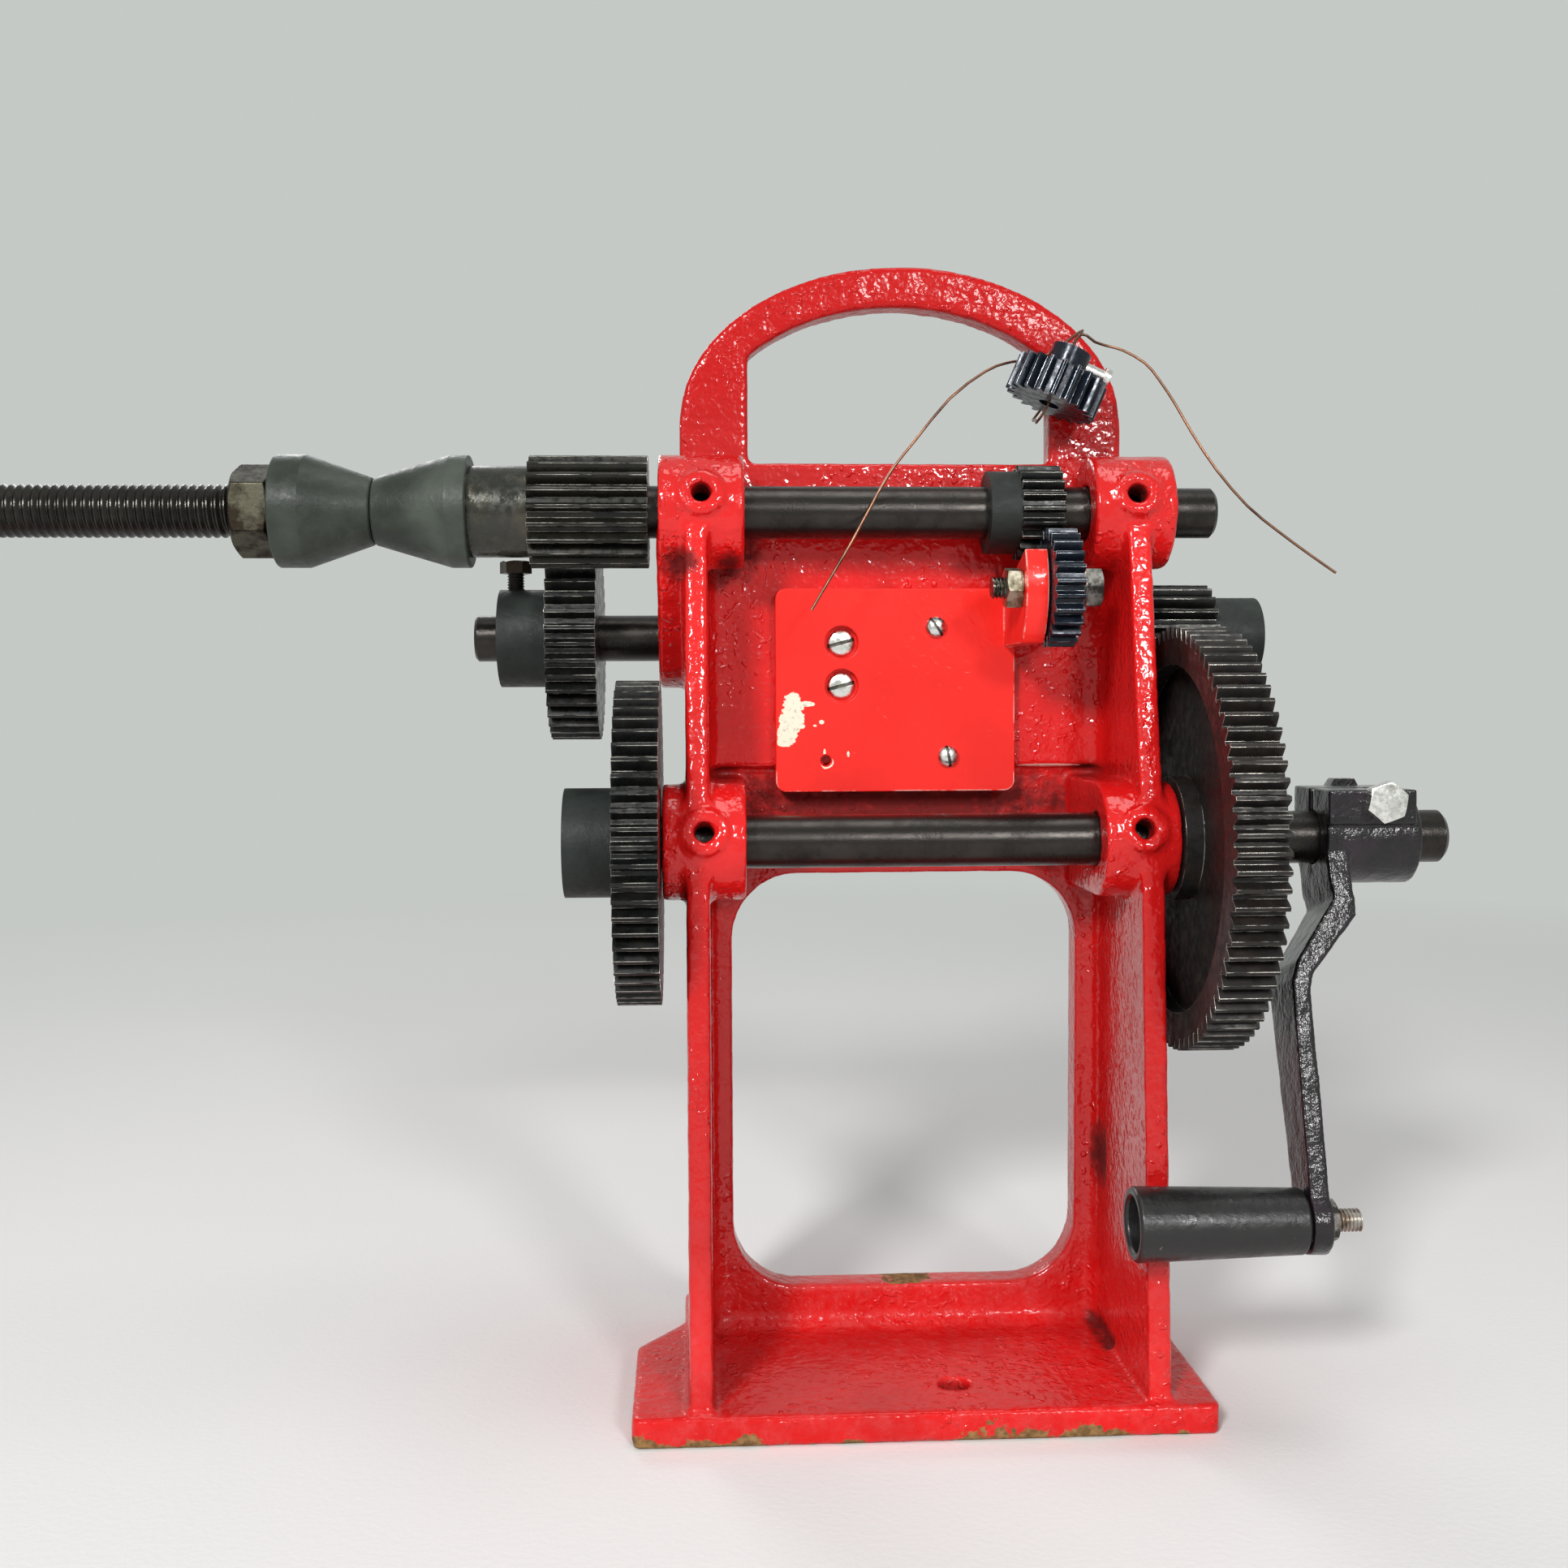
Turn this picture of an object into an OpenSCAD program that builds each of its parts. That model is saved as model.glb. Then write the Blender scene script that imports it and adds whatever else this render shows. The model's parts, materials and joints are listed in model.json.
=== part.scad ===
// Hand coil winding machine: a cast frame that carries a cranked main shaft, a
// countershaft and a threaded winding spindle, geared together, with a small gear
// train for a turns counter. X runs along the shafts, Y to the back, Z up.
// The origin is under the middle of the base, below the spindle axis.

/* [Base] */
// Width of the base plate
base_w = 155.2; // [150:0.2:200]
// Thickness of the base plate
base_t = 8; // [6:0.5:14]
// Reach of the base plate in front of the spindle axis
base_front = 44.5; // [42:0.5:60]
// Reach of the base plate behind the spindle axis
base_back = 48; // [46:0.5:60]
// Diameter of the two foot bolt holes
foot_hole_d = 8.2; // [5:0.2:10]
// Place of the foot holes along X
foot_hole_x = 9.3; // [0:0.1:30]
// Place of the front foot hole in front of the spindle axis
foot_hole_front = 26; // [20:0.5:32]
// Place of the rear foot hole behind the spindle axis
foot_hole_back = 37; // [34:0.5:40]

/* [Side walls] */
// Clear width between the side walls
bay_w = 115; // [113:0.5:140]
// Thickness of each side wall
wall_t = 6.3; // [4:0.1:10]
// Offset of the pair of walls to the right of the base's middle
wall_shift = 1.3; // [0:0.1:3]
// Reach of the walls in front of the spindle axis at the base
wall_front = 42; // [38:0.5:44]
// Reach of the walls behind the spindle axis at the base
wall_back = 46; // [42:0.5:50]

/* [Webs] */
// Front face of the lower web behind the spindle axis
web_front = 17; // [15:0.5:20]
// Thickness of the lower web
web_t = 10; // [6:0.5:12]
// Width of the window in the lower web
window_w = 101.5; // [80:0.5:104]
// Height of the window in the lower web
window_h = 122.5; // [90:0.5:123]
// Sill of the window above the underside of the base
window_sill = 20.5; // [16:0.5:30]
// Corner radius of the window
window_r = 19; // [8:0.5:30]
// Thickness of the upper panel
panel_t = 4; // [3:0.1:4.5]
// Lower edge of the upper panel above the underside of the base
panel_z = 174.4; // [172:0.2:180]
// Space between the counter gear's tips and the upper panel
panel_gap = 0.6; // [0.4:0.1:1]

/* [Shafts and gears] */
// Height of the spindle axis above the underside of the base
spindle_z = 246.05; // [240:0.05:270]
// Gear module of the power train
gear_m = 1.4111; // [1.38:0.0001:1.42]
// Angle of the countershaft behind the line straight down from the spindle
counter_lean = 36.6; // [35:0.1:38]
// Angle of the main shaft in front of the line straight down from the countershaft
main_lean = 36.6; // [35:0.1:38]
// Diameter of the spindle and the main shaft
shaft_d = 14.5; // [12:0.1:15]
// Diameter of the countershaft
counter_d = 13.4; // [11:0.1:13.6]
// Radial running clearance of each shaft in its bore
run_gap = 0.05; // [0.02:0.01:0.1]
// Gap between faces that turn against each other
face_gap = 0.4; // [0.3:0.05:0.8]
// Play taken off each tooth's thickness
backlash = 0.12; // [0.06:0.01:0.3]
// Gear module of the counter drive
fine_m = 1.2; // [1.1:0.01:1.22]
// Angle of the idler in front of the line straight down from the spindle
idler_lean = 35.4; // [34:0.1:37]

/* [Bearing bosses] */
// Outer diameter of the shaft bosses
boss_d = 31.5; // [28:0.1:32]
// Left upper boss: reach outside its wall
top_l_out = 7.1; // [4:0.1:10]
// Left upper boss: reach inside its wall
top_l_in = 10.2; // [4:0.1:14]
// Right upper boss: reach inside its wall
top_r_in = 8.8; // [4:0.1:10]
// Right upper boss: reach outside its wall
top_r_out = 7.7; // [6:0.1:14]
// Left lower boss: reach outside its wall
low_l_out = 6.3; // [4:0.1:7]
// Left lower boss: reach inside its wall
low_l_in = 9.7; // [4:0.1:14]
// Right lower boss: reach inside its wall
low_r_in = 9.5; // [4:0.1:14]
// Right lower boss: reach outside its wall
low_r_out = 4.5; // [4:0.1:6]
// Diameter of the oil holes
oil_d = 5.5; // [3:0.1:6]
// Angle of the oil holes above the horizontal
oil_tilt = 14; // [0:1:30]
// Diameter of the raised collar round each oil hole
oil_collar_d = 12.5; // [9:0.5:14]
// Outer diameter of the countershaft boss
counter_boss_d = 29; // [24:0.5:31]

/* [Handle arch] */
// Height of the arch's crown above the upper bosses
arch_h = 56; // [50:1:80]
// Depth of the arch, front to back
arch_d = 10; // [8:0.5:14]
// Height at which the arch's sides begin to curve in, above the upper bosses
arch_spring = 11; // [6:0.5:20]
// Thickness of the arch at its crown
arch_t = 11.5; // [8:0.5:16]
// Width of the arch's left leg
arch_leg_l = 19.6; // [14:0.2:24]
// Width of the arch's right leg
arch_leg_r = 20.8; // [14:0.2:23]

/* [Winding spindle] */
// Face width of the spindle pinion
spin_face = 32.6; // [30:0.1:40]
// Gap between the spindle pinion and the left boss
spin_gap = 2.8; // [1:0.1:5]
// Length of the pinion's collar
collar_l = 16.2; // [8:0.1:20]
// Diameter of the pinion's collar
collar_d = 25.1; // [21:0.1:25.4]
// Length of the inner cone
cone_in_l = 26.2; // [20:0.2:40]
// Length of the outer cone
cone_out_l = 26; // [20:0.2:44]
// Large diameter of the cones
cone_big_d = 30.8; // [26:0.1:40]
// Small diameter of the cones
cone_small_d = 18.4; // [17:0.1:22]
// Length of the cylindrical end of each cone
cone_rim = 5.6; // [3:0.1:10]
// Spindle nut, across flats
nut_af = 22.4; // [20:0.1:26]
// Thickness of the spindle nut
nut_h = 10.9; // [8:0.1:14]
// Length of free thread beyond the nut
free_thread = 115.1; // [70:0.1:160]
// Pitch of the spindle thread
thread_pitch = 2.3; // [1.5:0.05:3]
// Depth of the spindle thread
thread_depth = 0.8; // [0.5:0.05:1.1]
// Length of the spindle beyond the right boss
spindle_stub = 13.7; // [6:0.1:20]

/* [Counter drive] */
// Face width of the counter drive gear
drive10_face = 11.8; // [11:0.1:12.4]
// Gap between the counter drive gear and the right upper boss
drive10_gap = 7.7; // [7.5:0.1:9]
// Length of the counter drive gear's hub
drive10_hub_l = 8.6; // [6:0.1:12]
// Diameter of the counter drive gear's hub
drive10_hub_d = 23; // [18:0.5:23]
// Face width of the idler and the spare gear
idler_face = 7.8; // [7:0.1:8.4]
// Thickness of the counter bracket plate
plate_t = 5; // [4:0.1:5]
// Left edge of the counter bracket plate
plate_x0 = -36.8; // [-40:0.2:-30]
// Lower edge of the counter bracket plate
plate_z0 = 167.4; // [165:0.2:170]
// Width of the counter bracket plate
plate_w = 69; // [66:0.2:71]
// Height of the counter bracket plate
plate_h = 58.2; // [54:0.2:60]
// Corner radius of the counter bracket plate
plate_r = 3; // [1:0.5:4]
// Thickness of the bracket's ear
ear_t = 6.2; // [4:0.1:7]
// Radius of the ear's rounded front
ear_r = 19.8; // [18:0.1:20.5]
// Diameter of the small bolts and screws' threads
bolt_d = 6; // [5:0.1:6.2]
// Small bolt heads and nuts, across flats
bolt_af = 10; // [9:0.1:10.5]

/* [Main shaft and countershaft] */
// Face width of the low-speed gear
low_face = 11.7; // [10:0.1:14]
// Hub length of the low-speed gear
low_hub_l = 14.2; // [10:0.1:16]
// Hub diameter of the low-speed gear
low_hub_d = 29.6; // [24:0.1:34]
// Face width of the drive gear
drive_face = 13.8; // [13:0.1:16]
// Depth of the dish in the drive gear's faces
drive_dish = 4.6; // [4:0.1:5.2]
// Thickness of the drive gear's rim under the teeth
drive_rim = 7; // [5:0.5:10]
// Face width of the sliding gear
slide_face = 14.1; // [12:0.1:16]
// Gap between the sliding gear and the countershaft boss
slide_gap = 17.2; // [16:0.1:18]
// Hub length of the sliding gear
slide_hub_l = 14.8; // [12:0.1:16]
// Hub diameter of the sliding gear
slide_hub_d = 28.4; // [24:0.1:30]
// Length of the countershaft beyond the sliding gear's hub
counter_stub = 7.2; // [4:0.1:12]
// Face width of the countershaft pinion
pinion_face = 27.1; // [24:0.1:32]
// Hub length of the countershaft pinion
pinion_hub_l = 14.5; // [10:0.1:20]
// Hub diameter of the countershaft pinion
pinion_hub_d = 23.4; // [20:0.1:24]

/* [Crank] */
// Distance from the main shaft's axis to the grip's axis
crank_throw = 102.5; // [96:0.5:106]
// Gap between the drive gear and the crank's hub
crank_gap = 25.8; // [24:0.1:30]
// Length of the crank's hub
crank_hub_l = 26.1; // [22:0.2:32]
// Diameter of the crank's hub
crank_hub_d = 25.6; // [22:0.2:28]
// Height of the clamp bolt above the main shaft's axis
clamp_up = 10.4; // [10.3:0.1:11]
// Thickness of the crank arm
arm_t = 5.2; // [4.5:0.1:6.5]
// Width of the crank arm at the hub
arm_w0 = 22; // [18:0.2:25]
// Width of the crank arm next to its eye
arm_w1 = 13; // [11:0.2:16]
// Offset of the arm's lower part towards the gear
arm_step = 12.4; // [11:0.1:13]
// Length of the grip
grip_l = 44.9; // [38:0.1:46]
// Diameter of the grip at its free end
grip_d0 = 19.4; // [18:0.1:21]
// Diameter of the grip at the arm
grip_d1 = 17; // [15:0.1:18]
// Wall of the grip
grip_wall = 2.6; // [2:0.1:3.2]

/* [Hidden] */
$fn = 64;

// Small working values
eps = 0.01;
seat = 0.02;          // radial play of pieces that are fixed on a shaft or in a hole
rest_gap = 0.3;       // gap between pieces on different bodies that only come near
press_angle = 20;
fillet_r = 5;

// Tooth counts
pinion_z = 20;
slide_z = 40;
low_z = 60;
drive_z = 80;
fine_pinion_z = 20;
idler_z = 25;

// Axes as [y, z]
spindle_ax = [0, spindle_z];
counter_c = gear_m * (pinion_z + slide_z) / 2;
counter_ax = spindle_ax + counter_c * [sin(counter_lean), -cos(counter_lean)];
main_c = gear_m * (drive_z + pinion_z) / 2;
main_ax = counter_ax + main_c * [-sin(main_lean), -cos(main_lean)];
idler_c = fine_m * (fine_pinion_z + idler_z) / 2;
idler_ax = spindle_ax + idler_c * [-sin(idler_lean), -cos(idler_lean)];

// Walls and bosses along X
wall_l1 = wall_shift - bay_w / 2;
wall_l0 = wall_l1 - wall_t;
wall_r0 = wall_shift + bay_w / 2;
wall_r1 = wall_r0 + wall_t;
boss_r = boss_d / 2;
top_l0 = wall_l0 - top_l_out;
top_l1 = wall_l1 + top_l_in;
top_r0 = wall_r0 - top_r_in;
top_r1 = wall_r1 + top_r_out;
low_l0 = wall_l0 - low_l_out;
low_l1 = wall_l1 + low_l_in;
low_r0 = wall_r0 - low_r_in;
low_r1 = wall_r1 + low_r_out;
pad_x0 = top_l0 - 0.6;

// Webs
fine_tip_r = fine_m * (fine_pinion_z + 2) / 2;
panel_front = fine_tip_r + panel_gap;
panel_back = panel_front + panel_t;
panel_top = spindle_z + boss_r;
web_back = web_front + web_t;
plate_front = panel_front - plate_t;
arch_half = (wall_r1 - wall_l0) / 2;

// Working values of the casting
base_r = 3;                              // corner radius at the front of the base
base_ear_y = 5;                          // the base keeps its full width to here
base_neck_y = 24;                        // and is narrow from here to the back
base_neck_out = 1.5;                     // how far the narrow part stands out beyond the walls
wall_brow = 0.6;                         // share of the bosses' reach where the walls' top begins to slope
wall_brow_drop = 2;
wall_hump_up = 8;                        // the walls' round back over the countershaft
wall_hump_down = 12;
web_lap = 8;                             // how far the lower web reaches up behind the panel
ledge_t = 5;                             // thickness of the ledge that joins the web and the panel
arch_foot = 12;                          // how far the arch's legs reach down into the panel
arch_hollow_in = 6.6;                    // the arch's hollow: its end inside the outline,
arch_hollow_shift = 1.5;                 // its middle to the left of the arch's
arch_hollow_up = 2;                      // and its spring line above the panel
oil_collar_flare = 3;                    // extra diameter of the oil collars at the shaft's axis
oil_collar_out = 1;                      // how far the oil collars stand out of the bosses
end_chamfer = 1.4;                       // chamfer at the end of the thread
thread_start = 0.6;                      // plain end before the first groove
crest_from = 0.45;                       // flat crest of the thread, as shares of the pitch
crest_to = 0.55;
cone_lip = 0.4;                          // small chamfer at the cones' narrow ends
cone_chamfer = 0.8;                      // chamfer round the cones' rims
cone_rim_out = 1.5 * cone_rim;           // length of the outer cone's cylindrical end
nut_face_in = 0.4;                       // the nut's corners are cut back by a cone from here
nut_corner = 2.6;                        // to here, both counted from the flats
nut_chamfer = 1.7;
screw_slot = 0.16;                       // width of a screw's slot, as a share of its head's diameter

// Spindle pieces along X, from the left boss outwards
spin_x1 = top_l0 - spin_gap;
spin_x0 = spin_x1 - spin_face;
collar_x0 = spin_x0 - collar_l;
cone_in_x0 = collar_x0 - cone_in_l;
cone_out_x1 = cone_in_x0 - rest_gap;
cone_out_x0 = cone_out_x1 - cone_out_l;
nut_x1 = cone_out_x0 - rest_gap;
nut_x0 = nut_x1 - nut_h;
spindle_x0 = nut_x0 - free_thread;
spindle_x1 = top_r1 + spindle_stub;
stub_step = 0.25;      // the stub is turned down by this much, so that a hub slides on
thread_x1 = cone_in_x0 - 1.5;
drive10_x1 = top_r0 - drive10_gap;
drive10_x0 = drive10_x1 - drive10_face;
drive10_hub_x0 = drive10_x0 - drive10_hub_l;

// Idler pieces along X
idler_x1 = drive10_x1 + 1.2;
idler_x0 = idler_x1 - idler_face;
ear_x1 = idler_x0 - face_gap;
ear_x0 = ear_x1 - ear_t;
idler_head_h = 4.5;
idler_washer_t = 2.6;
idler_nut_h = 4.6;
idler_bolt_out = 3.6;
idler_washer_x0 = idler_x1 + rest_gap;
idler_head_x0 = idler_washer_x0 + idler_washer_t;
idler_nut_x0 = ear_x0 - idler_nut_h;

// Countershaft pieces along X
slide_x1 = pad_x0 - slide_gap;
slide_x0 = slide_x1 - slide_face;
slide_hub_x0 = slide_x0 - slide_hub_l;
counter_x0 = slide_hub_x0 - counter_stub;
pinion_x0 = wall_r1 + face_gap;
pinion_x1 = pinion_x0 + pinion_face;
pinion_hub_x1 = pinion_x1 + pinion_hub_l;

// Main shaft pieces along X
low_x1 = low_l0 - face_gap;
low_x0 = low_x1 - low_face;
low_hub_x0 = low_x0 - low_hub_l;
drive_hub_x0 = low_r1 + face_gap;
drive_x0 = drive_hub_x0 + 0.3;
drive_x1 = drive_x0 + drive_face;
drive_web_x0 = drive_x0 + drive_dish;
drive_web_x1 = drive_x1 - drive_dish + 1;
drive_hub_r = 17;
crank_x0 = drive_x1 + crank_gap;
crank_x1 = crank_x0 + crank_hub_l;
main_stub = 10.3;
main_x1 = crank_x1 + main_stub;

// Crank: at rest the grip leans on the front edge of the right wall
wall_top_in = 1.2;                       // how far the walls' front edge lies inside the bosses
wall_main_y = main_ax[0] - boss_r + wall_top_in;
wall_spindle_y = spindle_ax[0] - boss_r + wall_top_in;
wall_slope = atan2(wall_front + wall_main_y, main_ax[1] - base_t);
grip_r0 = grip_d0 / 2;
grip_r1 = grip_d1 / 2;
main_to_edge = (main_ax[0] - wall_main_y) * cos(wall_slope);
crank_lean = wall_slope + asin((grip_r0 + rest_gap + main_to_edge) / crank_throw);
arm_bend0 = 14;                          // start and end of the arm's bend, from the main shaft's axis
arm_bend1 = 41;
arm_out = 0.4;                             // how far the arm swings out before the bend
eye_r = 8.6;
lug_w = 27;
lug_top = 13.6;
lug_low = 4.4;
clamp_x = crank_x0 + 0.56 * crank_hub_l;
clamp_head_h = 4;
clamp_nut_h = 5;
slot_w = 2;
arm_top_t = 6;                           // thickness of the arm at the hub
arm_x0 = crank_x0 - 0.2;                 // left face of the arm at the hub
eye_x0 = arm_x0 - arm_step;
eye_x1 = eye_x0 + arm_t;
grip_x1 = eye_x0 - rest_gap;
grip_x0 = grip_x1 - grip_l;
grip_seat = 12.7;                           // length of the grip's solid end
grip_head_h = 4;
grip_nut_h = 2.8;
grip_bolt_out = 6.7;

// Counter bracket: the ear's root above the plate's lower edge, and its round front
ear_low = 41.6;
ear_high = 55;
ear_back = 11.8;                         // the round front's middle is this far behind the idler
ear_mid = idler_ax + [ear_back, 0];
ear_top_angle = 149;                     // the round front runs from this angle to the next
ear_low_angle = 180 + asin((ear_mid[1] - plate_z0 - ear_low) / ear_r);

// Counter bracket fixings as [x, z]
bracket_screw_x = -17.8;
bracket_screw_z = [210.1, 197.8];
bracket_screw_d = 4.8;
bracket_head_d = 8.2;
bracket_head_h = 2.0;
bracket_bore_d = 9.6;
bracket_bore_h = 3.6;
counter_screw_at = [[9.3, 214.5], [12.8, 177.4]];
counter_screw_d = 3.4;
counter_head_d = 6.1;
counter_head_h = 2.2;
spare_hole_at = [-22.4, 176.4];
spare_hole_d = 3;

// Spare gear, tied in front of the arch's right shoulder
spare_tilt = 23.5;
spare_at = [arch_half - 21.8, panel_front - fine_tip_r - rest_gap, panel_top + 19.15];
spare_hub_d = 11.3;
spare_hub_l = 6.5;
spare_bore_d = 6;
spare_screw_d = 3.5;
spare_face = 10;
spare_screw_in = 0.4;                    // gap between the bore and the screw's end
spare_screw_l = 7.4;
spare_head_d = 5.4;
spare_head_h = 1.9;
spare_slot_w = 0.9;

// Tie wire: points along its centre line from the spare gear's middle, left tail to right tail
wire_d = 0.8;
wire_path = [
    [-69.8, -10.3, -62.6], [-62.8, -10.3, -50.9], [-58.8, -10.3, -44.2], [-50.9, -10.3, -29.8],
    [-46.7, -10.3, -23.1], [-41.1, -9.3, -16.2], [-31.4, -8.3, -4.6], [-21.1, -5.3, 3.4],
    [-14.5, -0.3, 6.7], [-9, 8.3, 9.1], [-3.5, 10.9, 10.2], [2.5, 11.5, 13.2],
    [7.8, 11.9, 17.2], [10.8, 14.3, 19.2], [11.4, 19.7, 19.1], [10.4, 24.7, 16.4],
    [8.2, 26.1, 11.6], [4.6, 26.1, 4.6], [1.2, 26, -1.3], [-1.6, 24.3, -4.8],
    [-2.1, 18.7, -5.8], [-2.6, 13.1, -6.8], [-3.9, 7.7, -8.3], [-4.8, 3.7, -8.9],
    [-4.3, 1, -8.1], [-2.8, 0, -5.6], [-0.6, 0, -0.8], [1.8, 0, 4.7],
    [4.4, 0, 10.7], [5.6, 0.7, 13.2], [7.2, 2.1, 15.2], [9.2, 2.1, 15.1],
    [10.9, -0.1, 12.9], [13.8, -2.9, 11.2], [17.9, -4.3, 9.7], [23.9, -4.8, 6.2],
    [27.6, -5.3, 1.8], [32.1, -6.3, -5.3], [36.3, -8.3, -13.6], [43, -9.3, -23.9],
    [51.8, -9.3, -33.8], [60.6, -9.3, -40.8], [69.7, -9.3, -47.3], [77.1, -9.3, -52.3]];
wire_steps = 2;
wire_sides = 8;

// ---- helpers ----

// Turns a shape drawn in its own XY plane so that it stands in the YZ plane and grows along X
module along_x(x, ax = [0, 0]) {
    translate([x, ax[0], ax[1]]) rotate([90, 0, 90]) children();
}

// Round bar or bore from x0 to x1 round an axis
module bar(x0, x1, d, ax) {
    along_x(x0, ax) cylinder(h = x1 - x0, d = d);
}

// Round bar pointing to the front (-Y) from y0 back to y1
module bar_y(x, y0, y1, z, d) {
    translate([x, y1, z]) rotate([90, 0, 0]) cylinder(h = y1 - y0, d = d);
}

// Hexagon prism along X
module hex_x(x0, x1, af, ax, turn = 0) {
    along_x(x0, ax) rotate(turn) cylinder(h = x1 - x0, d = af / cos(30), $fn = 6);
}

// Involute of a base circle: swept angle at radius r
function roll(rb, r) = sqrt(max(0, pow(r / rb, 2) - 1));
function inv_deg(rb, r) = roll(rb, r) * 180 / PI - atan(roll(rb, r));
function polar(r, a) = r * [cos(a), sin(a)];

// Half the angle that a tooth fills at radius r
function tooth_half(z, m, r) =
    let (rp = m * z / 2, rb = rp * cos(press_angle))
    90 / z - backlash / 2 / rp * 180 / PI / 2 + inv_deg(rb, rp) - inv_deg(rb, max(r, rb));

function tooth_radii(z, m, n) =
    let (rp = m * z / 2, root = rp - 1.25 * m, tip = rp + m,
         start = max(root, rp * cos(press_angle)))
    concat(start > root + 0.05 ? [root] : [], [for (i = [0:n]) start + (tip - start) * i / n]);

function gear_points(z, m, turn, n = 3) =
    let (radii = tooth_radii(z, m, n), k = len(radii))
    [for (t = [0:z - 1]) each concat(
        [for (i = [0:k - 1]) polar(radii[i], turn + 360 * t / z - tooth_half(z, m, radii[i]))],
        [for (i = [k - 1:-1:0]) polar(radii[i], turn + 360 * t / z + tooth_half(z, m, radii[i]))])];

// Toothed blank along X with a tooth centred at the angle turn
module toothed(x0, x1, z, m, ax, turn) {
    along_x(x0, ax) linear_extrude(x1 - x0) polygon(gear_points(z, m, turn));
}

// Points on an ellipse's arc
function arc_points(c, a, b, from, to, n) =
    [for (i = [0:n]) let (t = from + (to - from) * i / n) c + [a * cos(t), b * sin(t)]];

// Rectangle with round corners, drawn by its arcs
function round_rect(x0, y0, x1, y1, r, n = 8) = concat(
    arc_points([x1 - r, y0 + r], r, r, -90, 0, n),
    arc_points([x1 - r, y1 - r], r, r, 0, 90, n),
    arc_points([x0 + r, y1 - r], r, r, 90, 180, n),
    arc_points([x0 + r, y0 + r], r, r, 180, 270, n));

// Stands a shape drawn in the XZ plane upright, from y0 back to y1
module upright(y0, y1) {
    translate([0, y1, 0]) rotate([90, 0, 0]) linear_extrude(y1 - y0) children();
}

// Concave fillet strip, drawn in the first quadrant
module cove(r) {
    difference() {
        translate([-eps, -eps]) square(r + eps);
        translate([r, r]) circle(r, $fn = 32);
    }
}

// Fillet up the corner of a wall and a web; turn is -90 at a left wall and 180 at a right one
module corner_cove(x, y, z0, z1, turn) {
    translate([x, y, z0]) rotate(turn) linear_extrude(z1 - z0) cove(fillet_r);
}

// ---- frame ----

// One side wall's outline in the YZ plane
module wall_outline() {
    polygon([
        [-wall_front, 0], [-wall_front, base_t], [wall_main_y, main_ax[1]],
        [wall_spindle_y, spindle_z],
        [wall_spindle_y * wall_brow, panel_top - wall_brow_drop], [0, panel_top],
        [panel_front + arch_d, panel_top],
        [counter_ax[0] + counter_boss_d / 2, counter_ax[1] + wall_hump_up],
        [counter_ax[0] + counter_boss_d / 2 + 1, counter_ax[1] - wall_hump_down],
        [wall_back, 0]]);
}

module arch_outline() {
    half = arch_half;
    spring = panel_top + arch_spring;
    x_in0 = -half + arch_leg_l;
    x_in1 = half - arch_leg_r;
    in_a = half - arch_hollow_in;
    in_b = arch_h - arch_t - arch_hollow_up;
    foot = panel_top - arch_foot;
    polygon(concat(
        [[half, foot]],
        arc_points([0, spring], half, arch_h - arch_spring, 0, 180, 36),
        [[-half, foot], [x_in0, foot]],
        [for (i = [0:20]) let (x = x_in0 + (x_in1 - x_in0) * i / 20)
            [x, panel_top + arch_hollow_up + in_b * sqrt(1 - pow((x + arch_hollow_shift) / in_a, 2))]],
        [[x_in1, foot]]));
}

// Boss round a shaft
module boss(x0, x1, ax) {
    bar(x0, x1, boss_d, ax);
}

// Raised collar round an oil hole, pointing forwards and up from the shaft's axis
module oil_collar(x, ax) {
    translate([x, ax[0], ax[1]]) rotate([90 - oil_tilt, 0, 0])
        cylinder(h = boss_r + oil_collar_out, d1 = oil_collar_d + oil_collar_flare, d2 = oil_collar_d);
}

module oil_hole(x, ax) {
    translate([x, ax[0], ax[1]]) rotate([90 - oil_tilt, 0, 0]) cylinder(h = boss_r + 4, d = oil_d);
}

// Solid between a lower boss and the web behind it
module boss_root(x0, x1) {
    translate([x0, main_ax[0], main_ax[1] - boss_r]) cube([x1 - x0, web_front + 1 - main_ax[0], boss_d]);
}

// Solid outside the left wall that ties the countershaft's boss to the spindle's
module counter_pad() {
    r = counter_boss_d / 2;
    along = [sin(counter_lean), -cos(counter_lean)];
    across = [cos(counter_lean), sin(counter_lean)];
    bar(pad_x0, wall_l1, counter_boss_d, counter_ax);
    along_x(pad_x0, spindle_ax) linear_extrude(wall_l1 - pad_x0)
        polygon([across * r, across * r + along * counter_c,
                 -across * r + along * counter_c, -across * r]);
}

module base_plate() {
    half = base_w / 2;
    r = base_r;
    neck_x0 = wall_l0 - base_neck_out;
    neck_x1 = wall_r1 + base_neck_out;
    linear_extrude(base_t) polygon(concat(
        arc_points([half - r, -base_front + r], r, r, -90, 0, 6),
        [[half, base_ear_y], [neck_x1, base_neck_y], [neck_x1, base_back],
         [neck_x0, base_back], [neck_x0, base_neck_y], [-half, base_ear_y]],
        arc_points([-half + r, -base_front + r], r, r, 180, 270, 6)));
}

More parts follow.
